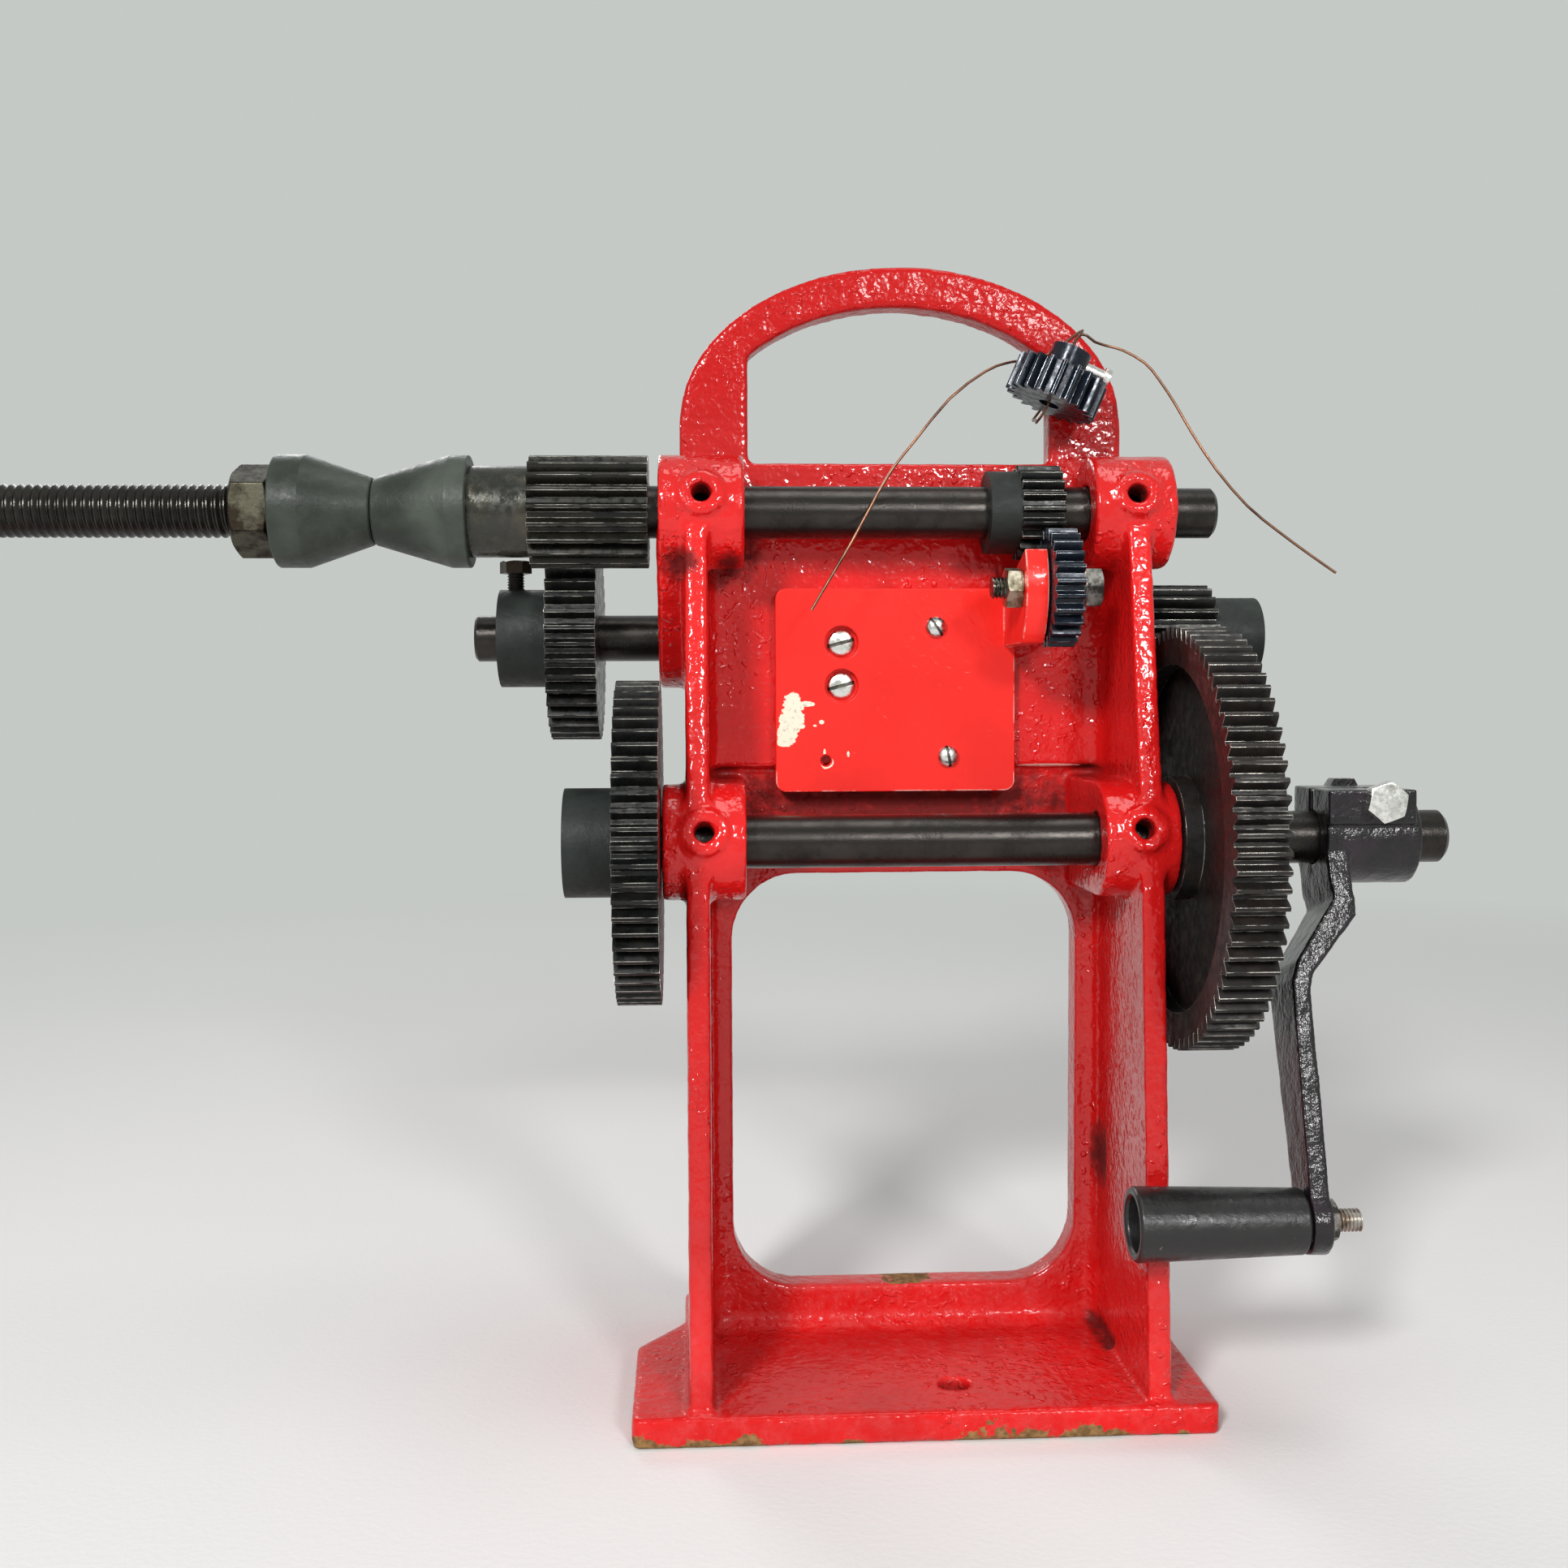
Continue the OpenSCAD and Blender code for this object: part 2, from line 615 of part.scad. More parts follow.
module webs() {
    mid = wall_shift;
    upright(web_front, web_back) difference() {
        translate([wall_l0 + eps, 0]) square([wall_r1 - wall_l0 - 2 * eps, panel_z + web_lap]);
        polygon(round_rect(mid - window_w / 2, window_sill, mid + window_w / 2,
            window_sill + window_h, window_r));
    }
    upright(panel_front, panel_back) translate([wall_l0 + eps, panel_z])
        square([wall_r1 - wall_l0 - 2 * eps, panel_top - panel_z]);
    translate([wall_l0 + eps, panel_front, panel_z])
        cube([wall_r1 - wall_l0 - 2 * eps, web_back - panel_front, ledge_t]);
    // coves along the foot of the web and down both walls
    along_x(wall_l1 - eps) linear_extrude(bay_w + 2 * eps)
        translate([web_front, base_t]) mirror([1, 0]) cove(fillet_r);
    corner_cove(wall_l1, web_front, base_t, panel_z, -90);
    corner_cove(wall_r0, web_front, base_t, panel_z, 180);
    corner_cove(wall_l1, panel_front, panel_z, spindle_z, -90);
    corner_cove(wall_r0, panel_front, panel_z, spindle_z, 180);
}

module frame_casting() color("#d8141c") difference() {
    union() {
        base_plate();
        along_x(wall_l0) linear_extrude(wall_t) wall_outline();
        along_x(wall_r0) linear_extrude(wall_t) wall_outline();
        webs();
        upright(panel_front, panel_front + arch_d) arch_outline();
        boss(top_l0, top_l1, spindle_ax);
        boss(top_r0, top_r1, spindle_ax);
        boss(low_l0, low_l1, main_ax);
        boss(low_r0, low_r1, main_ax);
        boss_root(wall_l1 - eps, low_l1);
        boss_root(low_r0, wall_r0 + eps);
        counter_pad();
        bar(wall_r0, wall_r1, counter_boss_d, counter_ax);
        oil_collar((top_l0 + top_l1) / 2, spindle_ax);
        oil_collar((top_r0 + top_r1) / 2, spindle_ax);
        oil_collar((low_l0 + low_l1) / 2, main_ax);
        oil_collar((low_r0 + low_r1) / 2, main_ax);
    }
    bar(top_l0 - 1, top_r1 + 1, shaft_d + 2 * run_gap, spindle_ax);
    bar(low_l0 - 1, low_r1 + 1, shaft_d + 2 * run_gap, main_ax);
    bar(pad_x0 - 1, wall_r1 + 1, counter_d + 2 * run_gap, counter_ax);
    oil_hole((top_l0 + top_l1) / 2, spindle_ax);
    oil_hole((top_r0 + top_r1) / 2, spindle_ax);
    oil_hole((low_l0 + low_l1) / 2, main_ax);
    oil_hole((low_r0 + low_r1) / 2, main_ax);
    for (y = [-foot_hole_front, foot_hole_back])
        translate([foot_hole_x, y, -1]) cylinder(h = base_t + 2, d = foot_hole_d);
    for (z = bracket_screw_z)
        bar_y(bracket_screw_x, panel_front - 1, panel_back + 1, z, bracket_screw_d + 2 * seat);
}

// ---- counter bracket and idler ----

module counter_bracket() color("#e8242a") difference() {
    union() {
        upright(plate_front, panel_front)
            polygon(round_rect(plate_x0, plate_z0, plate_x0 + plate_w, plate_z0 + plate_h, plate_r));
        upright(plate_front, panel_front) polygon(round_rect(plate_x0 + plate_w - 2 * plate_r,
            plate_z0 + ear_low, ear_x1, plate_z0 + ear_high, 1));
        along_x(ear_x0) linear_extrude(ear_t) ear_outline();
    }
    bar(ear_x0 - 1, ear_x1 + 1, bolt_d + 2 * seat, idler_ax);
    for (z = bracket_screw_z) {
        bar_y(bracket_screw_x, plate_front - 1, panel_front + 1, z, bracket_screw_d + 2 * seat);
        bar_y(bracket_screw_x, plate_front - 1, plate_front + bracket_bore_h, z, bracket_bore_d);
    }
    for (p = counter_screw_at)
        bar_y(p[0], plate_front - 1, panel_front + 1, p[1], counter_screw_d + 2 * seat);
    bar_y(spare_hole_at[0], plate_front - 1, panel_front + 1, spare_hole_at[1], spare_hole_d);
}

// Ear in the YZ plane: a tongue with a broad round front
module ear_outline() {
    polygon(concat(
        [[panel_front, plate_z0 + ear_high]],
        arc_points(ear_mid, ear_r, ear_r, ear_top_angle, ear_low_angle, 16),
        [[panel_front, plate_z0 + ear_low]]));
}

// Cheese head screw that points to the back, head at the front
module slotted_screw(x, z, y_seat, y_end, d, head_d, head_h, slot_turn) {
    bar_y(x, y_seat - eps, y_end, z, d);
    difference() {
        bar_y(x, y_seat - head_h, y_seat, z, head_d);
        translate([x, y_seat - head_h, z]) rotate([0, slot_turn, 0])
            cube([head_d + 1, head_h, head_d * screw_slot], center = true);
    }
}

module bracket_screws() color("#c9c6bd") {
    for (z = bracket_screw_z)
        slotted_screw(bracket_screw_x, z, plate_front + bracket_bore_h, panel_back,
            bracket_screw_d, bracket_head_d, bracket_head_h, -12);
}

module counter_screws() color("#c9c6bd") {
    for (i = [0, 1])
        slotted_screw(counter_screw_at[i][0], counter_screw_at[i][1], plate_front,
            panel_front - 0.4, counter_screw_d, counter_head_d, counter_head_h, i == 0 ? 35 : 80);
}

module idler_bolt() color("#b9bcc0") {
    bar(idler_nut_x0 - idler_bolt_out, idler_head_x0 + eps, bolt_d, idler_ax);
    hex_x(idler_head_x0, idler_head_x0 + idler_head_h, bolt_af, idler_ax);
}

module idler_washer() color("#8f8f8c") difference() {
    bar(idler_washer_x0, idler_head_x0, bolt_af * 1.15, idler_ax);
    bar(idler_washer_x0 - 1, idler_head_x0 + 1, bolt_d + 2 * seat, idler_ax);
}

module idler_nut() color("#c4b98c") difference() {
    hex_x(idler_nut_x0, ear_x0, bolt_af, idler_ax, 12);
    bar(idler_nut_x0 - 1, ear_x0 + 1, bolt_d + 2 * seat, idler_ax);
}

idler_line = -90 - idler_lean;

module idler_gear() color("#20262c") difference() {
    toothed(idler_x0, idler_x1, idler_z, fine_m, idler_ax, idler_line + 180 + 180 / idler_z);
    bar(idler_x0 - 1, idler_x1 + 1, bolt_d + 2 * run_gap, idler_ax);
}

// ---- spindle ----

// Threaded bar: one ring groove for each pitch
module spindle_shaft() color("#2a2522") {
    r = shaft_d / 2;
    turns = floor((thread_x1 - spindle_x0) / thread_pitch);
    groove_x0 = spindle_x0 + thread_start;
    along_x(0, spindle_ax) rotate_extrude() polygon(concat(
        [[0, spindle_x0], [r - end_chamfer, spindle_x0]],
        [for (i = [0:turns - 1]) each [
            [r - thread_depth, groove_x0 + i * thread_pitch],
            [r, groove_x0 + (i + crest_from) * thread_pitch],
            [r, groove_x0 + (i + crest_to) * thread_pitch]]],
        [[r - thread_depth, groove_x0 + turns * thread_pitch],
         [r, groove_x0 + (turns + crest_from) * thread_pitch],
         [r, top_r1 + face_gap], [r - stub_step, top_r1 + face_gap + stub_step],
         [r - stub_step, spindle_x1 - 1], [r - stub_step - 1, spindle_x1], [0, spindle_x1]]));
}

counter_line = counter_lean - 90;

module spindle_pinion() color("#1d1f1e") difference() {
    union() {
        toothed(spin_x0, spin_x1, pinion_z, gear_m, spindle_ax, counter_line);
        bar(collar_x0, spin_x0 + eps, collar_d, spindle_ax);
    }
    bar(collar_x0 - 1, spin_x1 + 1, shaft_d + 2 * seat, spindle_ax);
}

// Cone with a cylindrical rim at one end and a lip where they meet
module cone(x_small, x_big, x_rim) {
    r0 = cone_small_d / 2;
    r1 = cone_big_d / 2;
    along_x(0, spindle_ax) rotate_extrude() polygon([
        [0, x_small], [r0 - cone_lip, x_small], [r0, x_small + cone_lip * sign(x_big - x_small)],
        [r1, x_big], [r1, x_rim - cone_chamfer * sign(x_rim - x_big)], [r1 - cone_chamfer, x_rim],
        [0, x_rim]]);
}

module inner_cone() color("#2b302f") difference() {
    cone(cone_in_x0, collar_x0 - cone_rim, collar_x0);
    bar(cone_in_x0 - 1, collar_x0 + 1, shaft_d + 2 * seat, spindle_ax);
}

module outer_cone() color("#2b302f") difference() {
    cone(cone_out_x1, cone_out_x0 + cone_rim_out, cone_out_x0);
    bar(cone_out_x0 - 1, cone_out_x1 + 1, shaft_d + 2 * run_gap, spindle_ax);
}

module spindle_nut() color("#4a4038") difference() {
    intersection() {
        hex_x(nut_x0, nut_x1, nut_af, spindle_ax, 90);
        along_x(0, spindle_ax) rotate_extrude() polygon([
            [0, nut_x0], [nut_af / 2 - nut_face_in, nut_x0],
            [nut_af / 2 + nut_corner, nut_x0 + nut_chamfer],
            [nut_af / 2 + nut_corner, nut_x1 - nut_chamfer],
            [nut_af / 2 - nut_face_in, nut_x1], [0, nut_x1]]);
    }
    bar(nut_x0 - 1, nut_x1 + 1, shaft_d + 2 * run_gap, spindle_ax);
}

counter_set_x = drive10_hub_x0 + drive10_hub_l / 2;
counter_set_turn = 80;                   // up and a little to the back
drive_set_turn = 270;                    // the drive gear's set screw points down
drive_set_in = 9;                        // and sits this far from the hub's inner end
hub_set_turn = 20;                       // turn of the pinion's and the low-speed gear's set screws

module counter_drive_gear() color("#22272a") difference() {
    union() {
        toothed(drive10_x0, drive10_x1, fine_pinion_z, fine_m, spindle_ax, idler_line);
        bar(drive10_hub_x0, drive10_x0 + eps, drive10_hub_d, spindle_ax);
    }
    bar(drive10_hub_x0 - 1, drive10_x1 + 1, shaft_d + 2 * seat, spindle_ax);
    set_screw_hole(counter_set_x, spindle_ax, drive10_hub_d / 2, set_d, counter_set_turn);
}

// Headless set screws sit in radial holes; turn is the hole's angle from +Y towards +Z
set_d = 4;
set_sunk = 0.5;
set_slot_w = 0.8;
set_slot_deep = 0.6;

module set_screw_hole(x, ax, r_out, d, turn) {
    translate([x, ax[0], ax[1]]) rotate([turn, 0, 0]) rotate([-90, 0, 0])
        cylinder(h = r_out + 1, d = d + 2 * seat);
}

module set_screw(x, ax, r_shaft, r_out, turn) {
    translate([x, ax[0], ax[1]]) rotate([turn, 0, 0]) rotate([-90, 0, 0]) difference() {
        translate([0, 0, r_shaft + seat]) cylinder(h = r_out - set_sunk - r_shaft, d = set_d);
        translate([-set_d, -set_slot_w / 2, r_out - set_sunk - set_slot_deep])
            cube([2 * set_d, set_slot_w, set_d]);
    }
}

module counter_gear_screw() color("#6e6e6a")
    set_screw(counter_set_x, spindle_ax, shaft_d / 2, drive10_hub_d / 2, counter_set_turn);

// ---- countershaft ----

module countershaft() color("#26211f")
    along_x(0, counter_ax) rotate_extrude() polygon([
        [0, counter_x0], [counter_d / 2 - 1, counter_x0], [counter_d / 2, counter_x0 + 1],
        [counter_d / 2, pinion_hub_x1 - 0.5], [counter_d / 2 - 0.5, pinion_hub_x1], [0, pinion_hub_x1]]);

main_line = 90 - main_lean;
pinion_set_x = pinion_x1 + pinion_hub_l / 2;

module countershaft_pinion() color("#1c1e1e") difference() {
    union() {
        toothed(pinion_x0, pinion_x1, pinion_z, gear_m, counter_ax, main_line + 180 + 180 / pinion_z);
        bar(pinion_x1 - eps, pinion_hub_x1, pinion_hub_d, counter_ax);
    }
    bar(pinion_x0 - 1, pinion_hub_x1 + 1, counter_d + 2 * seat, counter_ax);
    set_screw_hole(pinion_set_x, counter_ax, pinion_hub_d / 2, set_d, hub_set_turn);
}

module pinion_set_screw() color("#6e6e6a")
    set_screw(pinion_set_x, counter_ax, counter_d / 2, pinion_hub_d / 2, hub_set_turn);

slide_screw_x = slide_hub_x0 + 0.3 * slide_hub_l;
slide_screw_d = 5;
slide_screw_af = 8;
slide_screw_out = 4.7;
slide_screw_head = 3.6;

module sliding_gear() color("#1a1c1b") difference() {
    union() {
        toothed(slide_x0, slide_x1, slide_z, gear_m, counter_ax, counter_line + 180 + 180 / slide_z);
        bar(slide_hub_x0, slide_x0 + eps, slide_hub_d, counter_ax);
    }
    bar(slide_hub_x0 - 1, slide_x1 + 1, counter_d + 2 * run_gap, counter_ax);
    set_screw_hole(slide_screw_x, counter_ax, slide_hub_d / 2, slide_screw_d, 90);
}

module sliding_gear_screw() color("#232322") {
    z0 = counter_ax[1] + counter_d / 2 + run_gap;
    z1 = counter_ax[1] + slide_hub_d / 2 + slide_screw_out;
    translate([slide_screw_x, counter_ax[0], z0]) cylinder(h = z1 - z0 + eps, d = slide_screw_d);
    translate([slide_screw_x, counter_ax[0], z1])
        cylinder(h = slide_screw_head, d = slide_screw_af / cos(30), $fn = 6);
}

// ---- main shaft ----

module main_shaft() color("#2a2522")
    along_x(0, main_ax) rotate_extrude() polygon([
        [0, low_hub_x0 + 0.4], [shaft_d / 2, low_hub_x0 + 0.4], [shaft_d / 2, main_x1 - 1.5],
        [shaft_d / 2 - 1.5, main_x1], [0, main_x1]]);

drive_set_x = drive_hub_x0 + drive_set_in;

module drive_gear() color("#1b1a18") difference() {
    union() {
        difference() {
            toothed(drive_x0, drive_x1, drive_z, gear_m, main_ax, main_line);
            bar(drive_x0 - 1, drive_x1 + 1, dish_d, main_ax);
        }
        bar(drive_web_x0, drive_web_x1, dish_d + 2, main_ax);
        bar(drive_hub_x0, drive_x1, 2 * drive_hub_r, main_ax);
    }
    bar(drive_hub_x0 - 1, drive_x1 + 1, shaft_d + 2 * seat, main_ax);
    set_screw_hole(drive_set_x, main_ax, drive_hub_r, set_d, drive_set_turn);
}

dish_d = gear_m * (drive_z - 2.5) - 2 * drive_rim;

module drive_gear_screw() color("#6e6e6a")
    set_screw(drive_set_x, main_ax, shaft_d / 2, drive_hub_r, drive_set_turn);

low_set_x = low_hub_x0 + low_hub_l / 2;

module low_speed_gear() color("#1c1e1d") difference() {
    union() {
        toothed(low_x0, low_x1, low_z, gear_m, main_ax, 3);
        bar(low_hub_x0, low_x0 + eps, low_hub_d, main_ax);
    }
    bar(low_hub_x0 - 1, low_x1 + 1, shaft_d + 2 * seat, main_ax);
    set_screw_hole(low_set_x, main_ax, low_hub_d / 2, set_d, hub_set_turn);
}

module low_gear_screw() color("#6e6e6a")
    set_screw(low_set_x, main_ax, shaft_d / 2, low_hub_d / 2, hub_set_turn);

// ---- crank ----

// Frame of the hanging arm: local Z runs from the eye up to the shaft
module crank_frame() {
    translate([0, main_ax[0], main_ax[1]]) rotate([-crank_lean, 0, 0]) children();
}

// Arm seen from the front: a strap with a double bend
module arm_side() {
    polygon([
        [arm_x0, 0], [arm_x0, -arm_bend0], [arm_x0 + 0.8, -arm_bend0 - 5],
        [eye_x0 + 1.6, -arm_bend1 + 5], [eye_x0, -arm_bend1],
        [eye_x0, -crank_throw - eye_r], [eye_x1, -crank_throw - eye_r],
        [eye_x1 - 0.3, -arm_bend1 - 2], [eye_x1 + 0.6, -arm_bend1 + 1.6],
        [arm_x0 + arm_top_t + arm_out, -arm_bend0 - 10], [arm_x0 + arm_top_t + arm_out, -arm_bend0 - 5],
        [arm_x0 + arm_top_t, -arm_bend0 + 1], [arm_x0 + arm_top_t, 0]]);
}

// Arm seen from the side: a taper with a round eye
module arm_face() {
    polygon([[-arm_w0 / 2, 4], [arm_w0 / 2, 4], [arm_w0 / 2, -arm_bend0],
        [arm_w1 / 2, -crank_throw], [-arm_w1 / 2, -crank_throw], [-arm_w0 / 2, -arm_bend0]]);
    translate([0, -crank_throw]) circle(eye_r);
}

module crank_arm() color("#17131a") difference() {
    union() {
        bar(crank_x0, crank_x1, crank_hub_d, main_ax);
        translate([crank_x0, main_ax[0] - lug_w / 2, main_ax[1] + lug_low])
            cube([crank_hub_l - 2, lug_w, lug_top - lug_low]);
        crank_frame() intersection() {
            translate([0, arm_w0, 0]) rotate([90, 0, 0]) linear_extrude(2 * arm_w0) arm_side();
            translate([arm_x0 - 2 * arm_step, 0, 0]) rotate([90, 0, 90])
                linear_extrude(4 * arm_step) arm_face();
        }
    }
    bar(crank_x0 - 2, crank_x1 + 1, shaft_d + 2 * seat, main_ax);
    translate([crank_x0 - 2, main_ax[0] - slot_w / 2, main_ax[1]])
        cube([crank_hub_l + 3, slot_w, lug_top + 1]);
    bar_y(clamp_x, main_ax[0] - lug_w, main_ax[0] + lug_w, main_ax[1] + clamp_up, bolt_d + 2 * seat);
    crank_frame() translate([eye_x0 - 1, 0, -crank_throw]) rotate([0, 90, 0])
        cylinder(h = arm_t + 2, d = bolt_d + 2 * seat);
}

clamp_front = main_ax[0] - lug_w / 2;
clamp_back = main_ax[0] + lug_w / 2;

module crank_clamp_bolt() color("#c8c2ae") {
    z = main_ax[1] + clamp_up;
    bar_y(clamp_x, clamp_front - eps, clamp_back + clamp_nut_h + 2, z, bolt_d);
    translate([clamp_x, clamp_front, z]) rotate([90, 0, 0]) rotate(20)
        cylinder(h = clamp_head_h, d = bolt_af / cos(30), $fn = 6);
}

module crank_clamp_nut() color("#8c8778") difference() {
    z = main_ax[1] + clamp_up;
    translate([clamp_x, clamp_back + clamp_nut_h, z]) rotate([90, 0, 0])
        cylinder(h = clamp_nut_h, d = bolt_af / cos(30), $fn = 6);
    bar_y(clamp_x, clamp_back - 1, clamp_back + clamp_nut_h + 1, z, bolt_d + 2 * seat);
}

grip_ax = main_ax + crank_throw * [-sin(crank_lean), -cos(crank_lean)];

module crank_grip() color("#141414")
    along_x(0, grip_ax) rotate_extrude() polygon([
        [bolt_d / 2 + run_gap, grip_x1], [bolt_d / 2 + run_gap, grip_x1 - grip_seat],
        [grip_r1 - grip_wall, grip_x1 - grip_seat], [grip_r0 - grip_wall, grip_x0 + 0.8],
        [grip_r0 - grip_wall + 0.6, grip_x0], [grip_r0 - 0.6, grip_x0], [grip_r0, grip_x0 + 0.8],
        [grip_r1, grip_x1 - 0.8], [grip_r1 - 0.8, grip_x1]]);

grip_head_x1 = grip_x1 - grip_seat - rest_gap;

module grip_bolt() color("#a9a7a2") {
    bar(grip_head_x1 - eps, eye_x1 + grip_nut_h + grip_bolt_out, bolt_d, grip_ax);
    along_x(grip_head_x1 - grip_head_h, grip_ax) cylinder(h = grip_head_h, d = bolt_af);
}

module grip_nut() color("#9a9a96") difference() {
    hex_x(eye_x1, eye_x1 + grip_nut_h, bolt_af, grip_ax, 90);
    bar(eye_x1 - 1, eye_x1 + grip_nut_h + 1, bolt_d + 2 * seat, grip_ax);
}

// ---- spare gear and its tie ----

module spare_frame() {
    translate(spare_at) rotate([0, spare_tilt, 0]) children();
}

module spare_counter_gear() color("#20262c") spare_frame() difference() {
    union() {
        translate([0, 0, -spare_face / 2]) linear_extrude(spare_face)
            polygon(gear_points(fine_pinion_z, fine_m, 9));
        cylinder(h = spare_face / 2 + spare_hub_l, d = spare_hub_d);
    }
    translate([0, 0, -spare_face]) cylinder(h = 3 * spare_face, d = spare_bore_d);
    translate([0, 0, spare_face / 2 + spare_hub_l / 2]) rotate([0, 90, 0])
        cylinder(h = spare_hub_d, d = spare_screw_d + 2 * seat);
}

module spare_gear_screw() color("#c9c6bd")
    spare_frame() translate([0, 0, spare_face / 2 + spare_hub_l / 2]) rotate([0, 90, 0]) {
        translate([0, 0, spare_bore_d / 2 + spare_screw_in])
            cylinder(h = spare_screw_l + eps, d = spare_screw_d);
        translate([0, 0, spare_bore_d / 2 + spare_screw_in + spare_screw_l]) difference() {
            cylinder(h = spare_head_h, d = spare_head_d);
            translate([-spare_head_d, -spare_slot_w / 2, spare_head_h - spare_slot_w])
                cube([2 * spare_head_d, spare_slot_w, spare_head_h]);
        }
    }

// Smooth curve through the wire's points
function spline(p, i, t) =
    let (a = p[max(i - 1, 0)], b = p[i], c = p[i + 1], d = p[min(i + 2, len(p) - 1)])
    0.5 * (2 * b + (c - a) * t + (2 * a - 5 * b + 4 * c - d) * t * t
        + (3 * b - a - 3 * c + d) * t * t * t);

function smooth(p, n) = concat(
    [for (i = [0:len(p) - 2]) for (k = [0:n - 1]) spline(p, i, k / n)], [p[len(p) - 1]]);

function unit(v) = v / norm(v);
function tangent(c, i) = unit(c[min(i + 1, len(c) - 1)] - c[max(i - 1, 0)]);

// Carries the ring's first direction along the curve without twist
function ring_dirs(c) = [for (i = 0, u = unit(cross(tangent(c, 0), [0, 1, 0]));
    i < len(c); i = i + 1, u = i < len(c) ? unit(u - tangent(c, i) * (u * tangent(c, i))) : u) u];

module tube(path, d, sides, steps) {
    c = smooth(path, steps);
    dirs = ring_dirs(c);
    n = len(c);
    points = [for (i = [0:n - 1]) for (k = [0:sides - 1])
        let (u = dirs[i], v = cross(tangent(c, i), u), a = 360 * k / sides)
        c[i] + d / 2 * (u * cos(a) + v * sin(a))];
    faces = concat(
        [[for (k = [0:sides - 1]) k]],
        [for (i = [0:n - 2]) for (k = [0:sides - 1]) let (j = (k + 1) % sides)
            [i * sides + k, (i + 1) * sides + k, (i + 1) * sides + j, i * sides + j]],
        [[for (k = [sides - 1:-1:0]) (n - 1) * sides + k]]);
    polyhedron(points, faces, convexity = 10);
}

module tie_wire() color("#8a5a3c") translate(spare_at) tube(wire_path, wire_d, wire_sides, wire_steps);

frame_casting();
counter_bracket();
bracket_screws();
counter_screws();
idler_bolt();
idler_washer();
idler_nut();
idler_gear();
spindle_shaft();
spindle_pinion();
inner_cone();
outer_cone();
spindle_nut();
counter_drive_gear();
counter_gear_screw();
countershaft();
countershaft_pinion();
pinion_set_screw();
sliding_gear();
sliding_gear_screw();
main_shaft();
drive_gear();
drive_gear_screw();
low_speed_gear();
low_gear_screw();
crank_arm();
crank_clamp_bolt();
crank_clamp_nut();
crank_grip();
grip_bolt();
grip_nut();
spare_counter_gear();
spare_gear_screw();
tie_wire();
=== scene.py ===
import json
import math

import bmesh
import bpy
from mathutils import Matrix, Vector, noise


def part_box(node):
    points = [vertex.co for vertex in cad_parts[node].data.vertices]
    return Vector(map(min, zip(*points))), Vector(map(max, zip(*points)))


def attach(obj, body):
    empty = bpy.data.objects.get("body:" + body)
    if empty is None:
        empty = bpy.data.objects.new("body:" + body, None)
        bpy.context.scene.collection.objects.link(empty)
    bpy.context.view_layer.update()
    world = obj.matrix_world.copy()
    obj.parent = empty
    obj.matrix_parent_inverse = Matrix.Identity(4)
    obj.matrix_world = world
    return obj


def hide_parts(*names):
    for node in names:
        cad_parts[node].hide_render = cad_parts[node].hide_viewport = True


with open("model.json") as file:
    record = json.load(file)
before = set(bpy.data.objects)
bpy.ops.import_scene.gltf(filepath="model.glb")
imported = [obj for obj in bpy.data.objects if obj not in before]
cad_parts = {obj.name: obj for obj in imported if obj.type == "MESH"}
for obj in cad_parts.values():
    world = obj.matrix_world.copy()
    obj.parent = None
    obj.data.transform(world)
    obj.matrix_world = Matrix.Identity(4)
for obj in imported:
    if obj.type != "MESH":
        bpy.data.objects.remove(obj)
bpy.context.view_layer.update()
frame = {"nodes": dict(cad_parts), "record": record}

MM = 0.001
NODES = frame["nodes"]
RECORD = frame["record"]
BODY_OF = {node: body for body, members in RECORD["behaviour"]["bodies"].items() for node in members}

# ---- camera, light and ground ----

LENS = 38.212
SENSOR = 36
CAMERA_AT = Vector((-60.03, -467.23, 193.30)) * MM
CAMERA_YAW, CAMERA_PITCH, CAMERA_ROLL = (math.radians(a) for a in (-3.069, -2.831, 0.228))
BACKGROUND = (0.56, 0.585, 0.565, 1)
FILL_COLOUR = (0.95, 0.97, 1.0, 1)
FILL_STRENGTH = 0.24
GROUND_R = 6.0
GROUND_DROP = 0.2 * MM
FADE_FROM, FADE_TO = 0.35, 1.3
MACHINE_MIDDLE = Vector((0, 0, 0.15))

# Lamps: name, place in m, width in m and power in W
LAMPS = (
    ("key_light", (-0.80, -1.68, 1.16), 0.36, 31),
    ("right_light", (0.54, -1.76, 0.86), 0.30, 13.5),
    ("top_light", (0.15, -0.15, 1.35), 0.60, 3),
    ("back_light", (-0.5, 1.1, 0.9), 0.5, 3),
)


def add(name, data):
    thing = bpy.data.objects.new(name, data)
    bpy.context.scene.collection.objects.link(thing)
    return thing


def set_camera():
    camera = add("camera", bpy.data.cameras.new("camera"))
    camera.data.lens = LENS
    camera.data.sensor_width = SENSOR
    camera.data.clip_start = 0.01
    camera.matrix_world = (
        Matrix.Translation(CAMERA_AT)
        @ Matrix.Rotation(CAMERA_YAW, 4, "Z")
        @ Matrix.Rotation(CAMERA_PITCH, 4, "X")
        @ Matrix.Rotation(CAMERA_ROLL, 4, "Y")
        @ Matrix.Rotation(math.radians(90), 4, "X")
    )
    bpy.context.scene.camera = camera


def area_lamp(name, at, size, power):
    lamp = add(name, bpy.data.lights.new(name, "AREA"))
    lamp.data.shape = "DISK"
    lamp.data.size = size
    lamp.data.energy = power
    lamp.location = at
    lamp.rotation_euler = (MACHINE_MIDDLE - Vector(at)).to_track_quat("-Z", "Y").to_euler()


